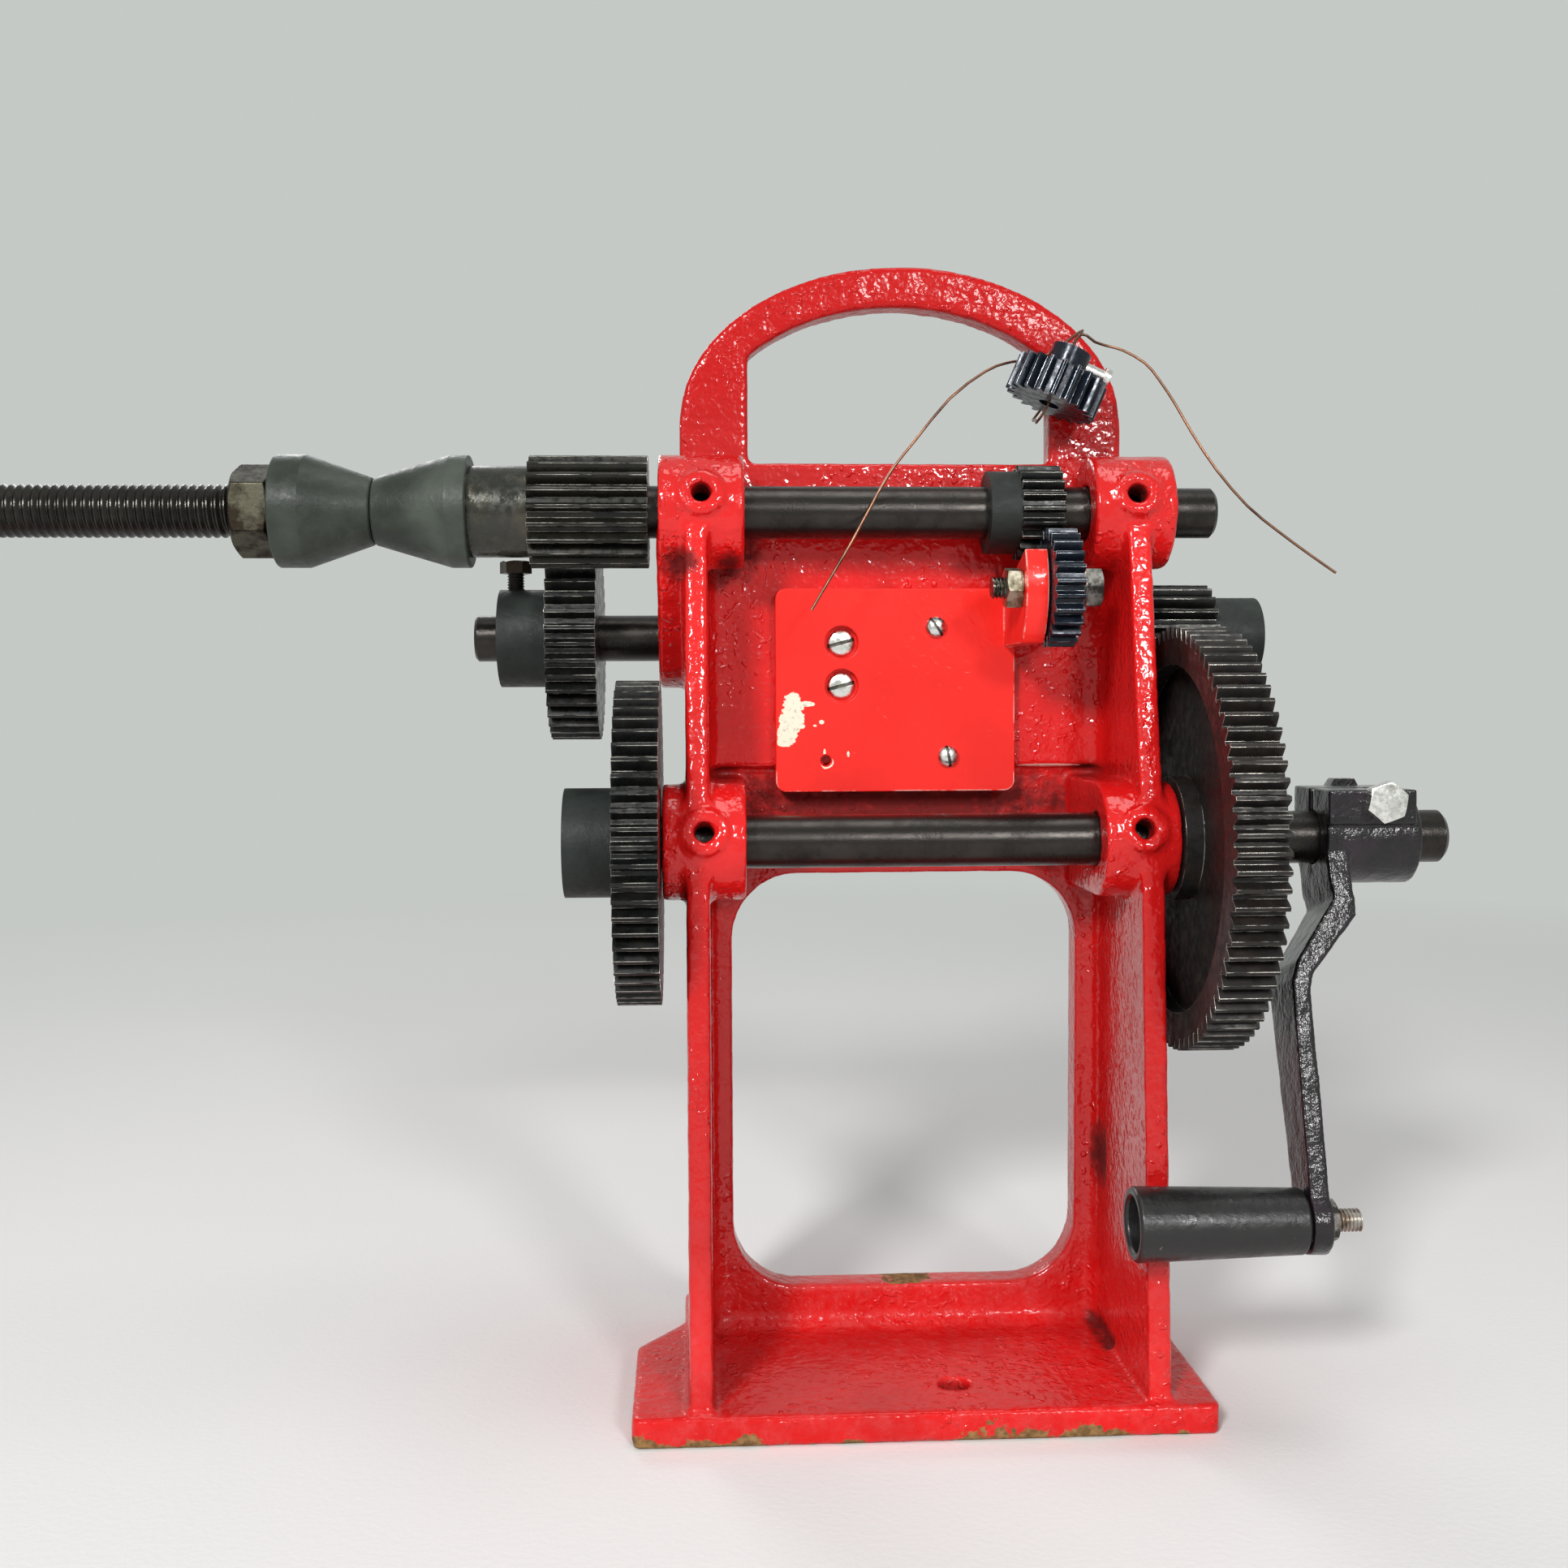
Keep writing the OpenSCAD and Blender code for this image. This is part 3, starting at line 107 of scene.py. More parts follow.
def set_light():
    for lamp in LAMPS:
        area_lamp(*lamp)
    world = bpy.data.worlds.new("studio")
    world.use_nodes = True
    tree = world.node_tree
    fill = tree.nodes["Background"]
    fill.inputs["Color"].default_value = FILL_COLOUR
    fill.inputs["Strength"].default_value = FILL_STRENGTH
    seen = tree.nodes.new("ShaderNodeBackground")
    seen.inputs["Color"].default_value = BACKGROUND
    mixer = tree.nodes.new("ShaderNodeMixShader")
    tree.links.new(seen_directly(tree), mixer.inputs[0])
    tree.links.new(fill.outputs[0], mixer.inputs[1])
    tree.links.new(seen.outputs[0], mixer.inputs[2])
    tree.links.new(mixer.outputs[0], tree.nodes["World Output"].inputs["Surface"])
    bpy.context.scene.world = world
    bpy.context.scene.view_settings.view_transform = "Standard"


def seen_directly(tree):
    """1 for rays from the camera, from glossy surfaces and through glass, else 0."""
    path = tree.nodes.new("ShaderNodeLightPath")
    total = path.outputs["Is Camera Ray"]
    for ray in ("Is Glossy Ray", "Is Transmission Ray"):
        either = tree.nodes.new("ShaderNodeMath")
        either.operation = "MAXIMUM"
        tree.links.new(total, either.inputs[0])
        tree.links.new(path.outputs[ray], either.inputs[1])
        total = either.outputs[0]
    return total


def set_ground():
    """A wide pale sheet under the machine that fades into the background far out."""
    shape = bmesh.new()
    bmesh.ops.create_circle(shape, cap_ends=True, segments=64, radius=GROUND_R)
    mesh = bpy.data.meshes.new("ground")
    shape.to_mesh(mesh)
    shape.free()
    ground = add("ground", mesh)
    ground.location.z = -GROUND_DROP
    paper = Finish("pale_cloth", (0.86, 0.85, 0.835), 0.9)
    paper.set("Specular IOR Level", 0.1)
    paper.set("Normal", paper.bump(paper.noise(500, 2), 0.1 * MM))
    far = paper.node("ShaderNodeVectorMath", out=1, settings=[("operation", "LENGTH")], i0=paper.place)
    fade = paper.calc("MULTIPLY", paper.between(far, FADE_FROM, FADE_TO), seen_directly(paper.tree))
    glow = paper.tree.nodes.new("ShaderNodeEmission")
    glow.inputs["Color"].default_value = BACKGROUND
    mixer = paper.tree.nodes.new("ShaderNodeMixShader")
    paper.tree.links.new(fade, mixer.inputs[0])
    paper.tree.links.new(paper.shader.outputs[0], mixer.inputs[1])
    paper.tree.links.new(glow.outputs[0], mixer.inputs[2])
    paper.tree.links.new(mixer.outputs[0], paper.tree.nodes["Material Output"].inputs["Surface"])
    mesh.materials.append(paper.material)


# ---- finishes ----

class Finish:
    """A Principled material with short calls for its procedural nodes. Patterns read Object coordinates."""

    def __init__(self, name, colour, roughness, metallic=0.0):
        self.material = bpy.data.materials.new(name)
        self.material.use_nodes = True
        self.tree = self.material.node_tree
        self.shader = self.tree.nodes["Principled BSDF"]
        self.place = self.tree.nodes.new("ShaderNodeTexCoord").outputs["Object"]
        self.set("Base Color", (*colour, 1))
        self.set("Roughness", roughness)
        self.set("Metallic", metallic)

    def set(self, socket, value):
        if isinstance(value, bpy.types.NodeSocket):
            self.tree.links.new(value, self.shader.inputs[socket])
        else:
            self.shader.inputs[socket].default_value = value

    def node(self, kind, out=0, settings=(), **inputs):
        """Adds a node. An input is named, or numbered as i0, i1 and so on."""
        made = self.tree.nodes.new(kind)
        for key, value in settings:
            setattr(made, key, value)
        for key, value in inputs.items():
            numbered = key[0] == "i" and key[1:].isdigit()
            target = made.inputs[int(key[1:]) if numbered else key]
            if isinstance(value, bpy.types.NodeSocket):
                self.tree.links.new(value, target)
            else:
                target.default_value = value
        return made.outputs[out]

    def stretched(self, scale):
        return self.node("ShaderNodeMapping", Vector=self.place, Scale=scale)

    def noise(self, scale, detail=3.0, roughness=0.55, at=None):
        return self.node("ShaderNodeTexNoise", Vector=at or self.place,
                         Scale=scale, Detail=detail, Roughness=roughness)

    def between(self, value, low, high, out_low=0.0, out_high=1.0):
        """Maps low..high to out_low..out_high, clamped."""
        return self.node("ShaderNodeMapRange", i0=value, i1=low, i2=high, i3=out_low, i4=out_high)

    def calc(self, operation, a, b=0.0):
        return self.node("ShaderNodeMath", settings=[("operation", operation)], i0=a, i1=b)

    def mix(self, amount, a, b):
        """Colour a where amount is 0, b where it is 1."""
        a, b = ((*c, 1) if isinstance(c, tuple) else c for c in (a, b))
        return self.node("ShaderNodeMix", out=2, settings=[("data_type", "RGBA")],
                         i0=amount, i6=a, i7=b)

    def axis(self, which):
        return self.node("ShaderNodeSeparateXYZ", out=which, Vector=self.place)

    def corners(self, distance):
        """1 in tight inner corners, 0 in the open."""
        open_sky = self.node("ShaderNodeAmbientOcclusion", out=1,
                             settings=[("samples", 8), ("only_local", True)], Distance=distance)
        return self.calc("SUBTRACT", 1.0, open_sky)

    def patch(self, x, z, half_x, half_z, ragged=0.0, scale=400, soft=0.04):
        """1 within an upright ellipse in the XZ plane, with a ragged edge."""
        squares = []
        for which, middle, half in ((0, x, half_x), (2, z, half_z)):
            offset = self.calc("DIVIDE", self.calc("SUBTRACT", self.axis(which), middle), half)
            squares.append(self.calc("MULTIPLY", offset, offset))
        reach = self.calc("ADD", *squares)
        wobble = self.calc("MULTIPLY", self.noise(scale, 5, 0.65), ragged)
        edge = 1.0 + ragged / 2
        return self.between(self.calc("ADD", reach, wobble), edge - soft, edge + soft, 1.0, 0.0)

    def relief(self, normal):
        """Gives the surface and its clear coat the same bumps."""
        self.set("Normal", normal)
        self.set("Coat Normal", normal)

    def bump(self, height, distance, normal=None):
        extra = {"Normal": normal} if normal else {}
        return self.node("ShaderNodeBump", Height=height, Distance=distance, Strength=1.0, **extra)


def scaled(colour, factor):
    return tuple(min(1.0, channel * factor) for channel in colour)


RED_TONE = (0.64, 0.009, 0.009)
BRACKET_TONE = (0.86, 0.024, 0.018)
# Near-black brown of grime and of painted shade.
GRIME_AND_SHADE = (0.016, 0.009, 0.008)
BARE_IRON = (0.30, 0.17, 0.065)
PRIMER = (0.84, 0.78, 0.62)
DULL_FILM = (0.62, 0.17, 0.17)
# Pale of the painted highlight on the panel's ledge.
LEDGE_HIGHLIGHT = (0.88, 0.62, 0.55)
# Pale of the plate's edges: painted highlight low down, rubbed wear at the right.
RUBBED_EDGE_AND_HIGHLIGHT = (0.80, 0.34, 0.30)


def enamel(name, tone, lumpy):
    """Thick glossy enamel with nibs of dust in it. lumpy is 1 over a sand casting, less over plate."""
    paint = Finish(name, tone, 0.22)
    paint.set("Specular IOR Level", 0.16)
    paint.set("Coat Weight", 0.6)
    paint.set("Coat Roughness", 0.02)
    cloudy = paint.between(paint.noise(26, 4), 0.35, 0.65)
    shade = paint.mix(cloudy, scaled(tone, 0.86), scaled(tone, 1.10))
    lumps = paint.bump(paint.noise(170, 2), 0.34 * MM * lumpy)
    crowds = paint.between(paint.noise(42, 3), 0.44, 0.58)
    nibs = paint.calc("MULTIPLY", paint.between(paint.noise(430, 1), 0.57, 0.70), crowds)
    nibbed = paint.bump(nibs, 0.30 * MM * lumpy, lumps)
    paint.relief(paint.bump(paint.noise(470, 1), 0.27 * MM * lumpy, nibbed))
    paint.set("Base Color", shade)
    return paint, shade


# Dark patches of the casting, mostly painted shadow under the bosses, the plate and the shaft, partly soot:
# x, z, half width and half height in mm, and the y they lie between
SHADE_AND_SOOT = (
    (0, 163, 60, 10.5, 16.5, 22), (59, 60, 2.4, 8, 6, 22), (57.5, 9.5, 2.6, 2.2, -6, 20),
    (46, 150, 9, 7, 14, 22), (-50, 236, 9, 8, 10, 15), (-52, 163, 8, 9, 14, 22),
    (-63.8, 231, 4.5, 4, -40, 5), (-50.2, 231.5, 3.2, 2.6, -40, 13),
)


def red_with_painted_shade(paint, fresh, height):
    """The casting's red, with painted shade darkening the arch, and darker on the legs."""
    # Painted shade: the arch is darkened where less light reaches it.
    arch_shade = paint.between(height, 235 * MM, 275 * MM)
    shade = paint.mix(arch_shade, fresh, scaled(RED_TONE, 0.70))
    legs = paint.calc("MULTIPLY", paint.between(height, 22 * MM, 50 * MM),
                      paint.between(height, 120 * MM, 160 * MM, 1.0, 0.0))
    return paint.mix(paint.calc("MULTIPLY", legs, 0.55), shade, scaled(RED_TONE, 0.60))


def frame_grime_and_shade(paint):
    """1 where grime and painted shade lie: in the inner corners and in the patches of painted shadow and
    soot.
    """
    # Inner corners darkened through ambient occlusion: painted shade, with grime in it.
    grime_and_shade = paint.calc("MULTIPLY", paint.between(paint.corners(9 * MM), 0.28, 0.80),
                       paint.between(paint.noise(110, 4), 0.32, 0.56))
    for x, z, half_x, half_z, front, back in SHADE_AND_SOOT:
        spot = paint.patch(x * MM, z * MM, half_x * MM, half_z * MM, 3.0, 340, 0.8)
        for side in (paint.between(paint.axis(1), (front - 1) * MM, front * MM),
                     paint.between(paint.axis(1), back * MM, (back + 1) * MM, 1.0, 0.0), 0.85):
            spot = paint.calc("MULTIPLY", spot, side)
        grime_and_shade = paint.calc("MAXIMUM", grime_and_shade, spot)
    return grime_and_shade


def frame_enamel():
    """The casting's paint, with painted shade on the arch, darker legs, a dull film low down, grime and
    painted shade in corners and patches, a painted highlight on the ledge, and bare metal at the foot and on
    the sill.
    """
    paint, shade = enamel("frame_red", RED_TONE, 1.0)
    height = paint.axis(2)
    shade = red_with_painted_shade(paint, shade, height)
    film = paint.calc("MULTIPLY", paint.between(height, 20 * MM, 70 * MM, 0.14, 0.0),
                      paint.between(paint.noise(240, 5, 0.7), 0.42, 0.66))
    filmed = paint.mix(film, shade, DULL_FILM)
    grime_and_shade = frame_grime_and_shade(paint)
    # Mixes in the grime and the painted shade.
    dirty_and_shaded = paint.mix(paint.calc("MULTIPLY", grime_and_shade, 0.92), filmed, GRIME_AND_SHADE)
    foot_line = paint.calc("ADD", paint.calc("MULTIPLY", paint.noise(55, 5, 0.7), -26 * MM), height)
    foot = paint.between(foot_line, -12.8 * MM, -12.0 * MM, 1.0, 0.0)
    sill = paint.patch(2 * MM, 20.9 * MM, 8 * MM, 0.7 * MM, 2.4, 420)
    bare = paint.calc("MAXIMUM", foot, sill)
    metal = paint.mix(paint.between(paint.noise(500, 4), 0.4, 0.6), scaled(BARE_IRON, 0.5), BARE_IRON)
    worn = paint.mix(bare, dirty_and_shaded, metal)
    # A pale line along the panel's ledge edge: a painted highlight.
    ledge_highlight = paint.patch(43 * MM, 174.5 * MM, 9.5 * MM, 0.42 * MM, 1.0, 500)
    ledge_highlight = paint.calc("MULTIPLY", ledge_highlight, paint.between(paint.axis(1), 16 * MM, 18 * MM, 1.0, 0.0))
    paint.set("Base Color", paint.mix(ledge_highlight, worn, LEDGE_HIGHLIGHT))
    dull = paint.calc("MAXIMUM", paint.calc("MAXIMUM", grime_and_shade, bare), film)
    paint.set("Roughness", paint.between(dull, 0.0, 1.0, 0.22, 0.75))
    gloss = paint.calc("MULTIPLY", paint.between(dull, 0.0, 0.8, 0.6, 0.0),
                       paint.between(height, 10 * MM, 20 * MM, 0.25, 1.0))
    worn_top = paint.between(height, 262 * MM, 284 * MM, 1.0, 0.22)
    paint.set("Coat Weight", paint.calc("MULTIPLY", gloss, worn_top))
    return paint


# Flaked patches of the bracket: x, z, half width and half height in mm, raggedness, grain of the edge
FLAKES = (
    (-31.8, 192.2, 2.8, 3.6, 2.6, 620), (-32.2, 188.0, 3.6, 4.0, 2.2, 560),
    (-33.6, 184.0, 3.0, 3.6, 1.8, 620), (-34.6, 181.8, 1.9, 1.5, 1.0, 700),
    (-28.2, 192.6, 2.6, 0.8, 2.4, 800), (-29.4, 186.2, 1.0, 0.7, 2.0, 900),
    (-23.6, 187.4, 0.8, 0.6, 2.4, 900), (-25.6, 186.4, 0.5, 0.3, 2.0, 900),
    (-22.2, 175.9, 1.9, 1.9, 1.2, 600), (-22.8, 178.8, 0.35, 0.9, 1.0, 600),
    (-16.0, 178.2, 0.35, 0.9, 1.4, 600),
)


def bracket_enamel():
    """Smoother paint on plate, flaked off down to a cream primer at the left of its front face."""
    paint, shade = enamel("bracket_red", BRACKET_TONE, 0.16)
    bare = 0.0
    for x, z, half_x, half_z, ragged, scale in FLAKES:
        flake = paint.patch(x * MM, z * MM, half_x * MM, half_z * MM, ragged, scale)
        bare = paint.calc("MAXIMUM", flake, bare)
    front = paint.between(paint.axis(1), 9.2 * MM, 9.4 * MM, 1.0, 0.0)
    bare = paint.calc("MULTIPLY", bare, front)
    cream = paint.mix(paint.between(paint.noise(700, 5, 0.7), 0.34, 0.46), scaled(PRIMER, 0.6), PRIMER)
    paint.set("Base Color", paint.mix(bare, shade, cream))
    paint.set("Roughness", paint.between(bare, 0.0, 1.0, 0.24, 0.8))
    paint.set("Coat Weight", paint.between(bare, 0.0, 1.0, 0.25, 0.0))
    return paint


def oiled_iron(name, tone, shine=0.3, metallic=0.25, grain=0.03):
    """Blackened iron under oil and old grease."""
    iron = Finish(name, tone, shine, metallic)
    iron.set("Specular IOR Level", 0.35)
    grease = iron.between(iron.noise(120, 5, 0.6), 0.45, 0.7)
    brown = (tone[0] * 1.7 + 0.003, tone[1] * 1.5 + 0.002, tone[2] * 1.3 + 0.001)
    iron.set("Base Color", iron.mix(grease, tone, brown))
    iron.set("Roughness", iron.between(iron.noise(420, 4), 0.35, 0.65, shine - 0.10, shine + 0.18))
    pits = iron.bump(iron.noise(300, 3), 0.04 * MM)
    iron.set("Normal", iron.bump(iron.noise(1300, 3, 0.65), grain * MM, pits))
    return iron


def worn_edge(name, tone, bare):
    """Iron edges rubbed bright in places."""
    edge = Finish(name, tone, 0.3, 0.9)
    bright = edge.between(edge.noise(130, 3, 0.6), 0.42, 0.60)
    edge.set("Base Color", edge.mix(bright, tone, bare))
    edge.set("Roughness", edge.between(edge.noise(700), 0.3, 0.7, 0.18, 0.42))
    return edge


def rubbed_and_highlit_enamel(name, tone):
    """The plate's edges: pale low down as a painted highlight of the edge's bead, and worn pale at the
    right.
    """
    edge = Finish(name, tone, 0.3)
    edge.set("Specular IOR Level", 0.2)
    # Pale along the bottom edge: a painted highlight.
    low = edge.between(edge.axis(2), 172 * MM, 174 * MM, 1.0, 0.0)
    # Pale at the right edge: rubbed wear.
    right = edge.between(edge.axis(0), 28.5 * MM, 29 * MM)
    rubbed_and_lit = edge.between(edge.noise(200, 4, 0.7), 0.47, 0.58)
    rubbed_and_lit = edge.calc("MULTIPLY", rubbed_and_lit, edge.calc("MAXIMUM", low, right))
    edge.set("Base Color", edge.mix(rubbed_and_lit, tone, RUBBED_EDGE_AND_HIGHLIGHT))
    return edge


def turned_bar(name, tone, shine=0.25, metallic=0.8):
    """Turned bar: fine rings round it and dark handling marks along it."""
    steel = Finish(name, tone, shine, metallic)
    marks = steel.noise(90, 6, 0.7)
    steel.set("Base Color", steel.mix(steel.between(marks, 0.38, 0.66), tone, scaled(tone, 0.45)))
    steel.set("Roughness", steel.between(marks, 0.35, 0.7, shine - 0.02, shine + 0.2))
    rings = steel.bump(steel.noise(2400, 2, at=steel.stretched((1, 0.02, 0.02))), 0.02 * MM)
    steel.set("Normal", steel.bump(steel.noise(1500, 4, 0.7), 0.06 * MM, rings))
    return steel


def dull_iron(name, tone, shine=0.50, grain=0.16):
    """Matt grey-green iron, as the hubs and cones are."""
    iron = Finish(name, tone, shine)
    iron.set("Specular IOR Level", 0.25)
    smudges = iron.between(iron.noise(48, 5, 0.6), 0.36, 0.66)
    iron.set("Base Color", iron.mix(smudges, scaled(tone, 0.6), scaled(tone, 1.6)))
    iron.set("Roughness", iron.between(iron.noise(420, 4), 0.3, 0.7, shine - 0.10, shine + 0.10))
    iron.set("Normal", iron.bump(iron.noise(700, 4, 0.65), grain * MM))
    return iron


def plated(name, tone, stain, shine=0.25, share=0.55, stain_scale=240):
    """Plated steel, scuffed and stained. share is how much of it stays clean."""
    zinc = Finish(name, tone, shine, 1.0)
    dark = zinc.between(zinc.noise(stain_scale, 4, 0.6), share - 0.06, share + 0.10)
    zinc.set("Base Color", zinc.mix(dark, tone, stain))
    zinc.set("Roughness", zinc.between(zinc.noise(800), 0.3, 0.7, shine - 0.06, shine + 0.2))
    zinc.set("Normal", zinc.bump(zinc.noise(900, 3), 0.04 * MM))
    return zinc


def japanned():
    """Black over a rough forging, a little purple where it is thin."""
    thick, thinned = (0.005, 0.0045, 0.005), (0.016, 0.009, 0.014)
    black = Finish("crank_black", (0.008, 0.007, 0.008), 0.34)
    black.set("Specular IOR Level", 0.2)
    black.set("Coat Weight", 0.6)
    black.set("Coat Roughness", 0.05)
    thin = black.between(black.noise(140, 4), 0.45, 0.7)
    black.set("Base Color", black.mix(thin, thick, thinned))
    lumps = black.bump(black.noise(240, 3), 0.30 * MM)
    black.relief(black.bump(black.noise(680, 3, 0.65), 0.20 * MM, lumps))
    return black


def grip_black():
    """Black paint with small chips that show brown."""
    sound, chipped = (0.012, 0.0115, 0.0115), (0.16, 0.085, 0.06)
    grip = Finish("grip_black", sound, 0.34)
    chips = grip.between(grip.noise(460, 5, 0.7), 0.665, 0.70)
    grip.set("Base Color", grip.mix(chips, sound, chipped))
    grip.set("Roughness", grip.between(grip.noise(240, 4), 0.3, 0.7, 0.24, 0.46))
    grip.set("Normal", grip.bump(grip.noise(420, 4), 0.16 * MM))
    return grip


def copper():
    """Old wire, brown in places and bright in others."""
    brown, bright = (0.10, 0.05, 0.034), (0.34, 0.17, 0.10)
    wire = Finish("copper_wire", (0.20, 0.085, 0.045), 0.35, 0.8)
    wire.set("Base Color", wire.mix(wire.between(wire.noise(70, 4), 0.4, 0.62), brown, bright))
    return wire


# ---- shapes ----

FLAT_ANGLE = math.radians(1.2)
SHARP_ANGLE = math.radians(28)
MERGE = 2e-6
AXIS_MERGE = 1e-6
ON_PLANE = 1e-6
CUT_NEAR = 1e-8
THREAD_CUT_NEAR = 1e-7
SLACK = 0.01 * MM


def cut_plane(shape, at, normal, drop=True, near=CUT_NEAR):
    """Cuts a shape by a plane and drops what lies beyond it. Returns the parts that the cut made."""
    return bmesh.ops.bisect_plane(shape, geom=shape.verts[:] + shape.edges[:] + shape.faces[:], dist=near,
                                  plane_co=at, plane_no=normal, clear_outer=drop, clear_inner=False)


def new_piece(name, shape, nodes, finishes, smooth_angle=34, weighted=True):
    """Makes the object, gives it its finishes and ties it to the body of the nodes it stands for."""
    limit = math.radians(smooth_angle)
    for edge in shape.edges:
        edge.smooth = edge.calc_face_angle(0.0) < limit
    for face in shape.faces:
        face.smooth = True
    mesh = bpy.data.meshes.new(name)
    shape.to_mesh(mesh)
    shape.free()
    for finish in finishes:
        mesh.materials.append(finish.material)
    piece = add(name, mesh)
    if weighted:
        flatter = piece.modifiers.new("flat faces stay flat", "WEIGHTED_NORMAL")
        flatter.keep_sharp = True
    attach(piece, BODY_OF[nodes[0]])
    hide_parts(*nodes)
    return piece


def merged_copy(node):
    shape = bmesh.new()
    shape.from_mesh(NODES[node].data)
    bmesh.ops.remove_doubles(shape, verts=shape.verts, dist=MERGE)
    return shape


def eased_copy(node, ease, segments=2, worn=False):
    """A merged copy of a node with its sharp edges rounded by ease. worn gives those edges material 1."""
    shape = merged_copy(node)
    bmesh.ops.dissolve_limit(shape, angle_limit=FLAT_ANGLE, verts=shape.verts, edges=shape.edges,
                             use_dissolve_boundaries=False)
    sharp = [e for e in shape.edges
             if len(e.link_faces) == 2 and abs(e.calc_face_angle(0.0)) > SHARP_ANGLE]
    rounded = bmesh.ops.bevel(shape, geom=sharp, offset=ease, offset_type="OFFSET", affect="EDGES",
                              segments=segments, profile=0.5, material=-1, clamp_overlap=False,
                              loop_slide=True)
    if worn:
        for face in rounded["faces"]:
            face.material_index = 1
    return shape


def lathe(profile, steps=96):
    """Spins (along, radius) points round local Z."""
    shape = bmesh.new()
    verts = [shape.verts.new((radius, 0, along)) for along, radius in profile]
    edges = [shape.edges.new(pair) for pair in zip(verts, verts[1:])]
    bmesh.ops.spin(shape, geom=verts + edges, cent=(0, 0, 0), axis=(0, 0, 1), dvec=(0, 0, 0),
                   angle=2 * math.pi, steps=steps, use_merge=True, use_duplicate=False)
    bmesh.ops.remove_doubles(shape, verts=shape.verts, dist=AXIS_MERGE)
    bmesh.ops.recalc_face_normals(shape, faces=shape.faces)
    return shape


def helix_rod(radius, depth, pitch, length, steps=40):
    """A rod along local Z from 0 to length with a true helical thread."""
    shape = bmesh.new()
    # One ridge of the thread: share of the pitch, radius
    ridge = ((0.0, radius - depth), (0.10, radius - depth), (0.44, radius), (0.60, radius))
    turns = range(-1, math.ceil(length / pitch) + 1)
    line = [((turn + share) * pitch, r) for turn in turns for share, r in ridge]
    verts = [shape.verts.new((r, 0, z)) for z, r in line]
    edges = [shape.edges.new(pair) for pair in zip(verts, verts[1:])]
    bmesh.ops.spin(shape, geom=verts + edges, cent=(0, 0, 0), axis=(0, 0, 1), dvec=(0, 0, pitch / steps),
                   angle=2 * math.pi, steps=steps, use_merge=False, use_duplicate=False)
    bmesh.ops.remove_doubles(shape, verts=shape.verts, dist=MERGE)
    for z, outwards in ((0.0, -1), (length, 1)):
        cut_plane(shape, (0, 0, z), (0, 0, outwards), near=THREAD_CUT_NEAR)
        rim = [e for e in shape.edges if e.is_boundary and all(abs(v.co.z - z) < ON_PLANE for v in e.verts)]
        bmesh.ops.holes_fill(shape, edges=rim, sides=0)
    bmesh.ops.recalc_face_normals(shape, faces=shape.faces)
    return shape


def hexagon(across, height, both_ends=False):
    """A hexagon along local Z from 0 to height, its corners cut back at the top or at both ends."""
    shape = bmesh.new()
    corner = across / 2 / math.cos(math.pi / 6)
    bmesh.ops.create_cone(shape, cap_ends=True, segments=6, radius1=corner, radius2=corner, depth=height)
    bmesh.ops.translate(shape, verts=shape.verts, vec=(0, 0, height / 2))
    reach, tilt, cuts = across / 2 * 0.97, math.radians(28), 36
    for z, up in ((height, 1), (0, -1)) if both_ends else ((height, 1),):
        for i in range(cuts):
            turn = math.tau * (i + 0.5) / cuts
            out = Vector((math.cos(turn), math.sin(turn), 0))
            cut = cut_plane(shape, out * reach + Vector((0, 0, z)),
                            out * math.sin(tilt) + Vector((0, 0, up * math.cos(tilt))))
            rim = [e for e in cut["geom_cut"] if isinstance(e, bmesh.types.BMEdge)]
            bmesh.ops.holes_fill(shape, edges=rim, sides=0)
    bmesh.ops.recalc_face_normals(shape, faces=shape.faces)
    return shape


def put(shape, at, along, turn=0.0):
    """Turns local Z to the direction along, after a turn about it, and moves it to at."""
    spin = Matrix.Rotation(math.radians(turn), 4, "Z")
    aim = Vector((0, 0, 1)).rotation_difference(Vector(along)).to_matrix().to_4x4()
    bmesh.ops.transform(shape, matrix=Matrix.Translation(at) @ aim @ spin, verts=shape.verts)
    return shape


def together(*shapes):
    """Joins shapes into the first."""
    whole = shapes[0]
    for other in shapes[1:]:
        mesh = bpy.data.meshes.new("joining")
        other.to_mesh(mesh)
        other.free()
        whole.from_mesh(mesh)
        bpy.data.meshes.remove(mesh)
    return whole


def coat(shape, index):
    """Gives a whole shape one of its piece's finishes."""
    for face in shape.faces:
        face.material_index = index
    return shape


def coat_between(shape, x0, x1, index):
    """Gives the faces that lie between x0 and x1 a finish."""
    for face in shape.faces:
        if all(x0 - SLACK <= v.co.x <= x1 + SLACK for v in face.verts):
            face.material_index = index
    return shape


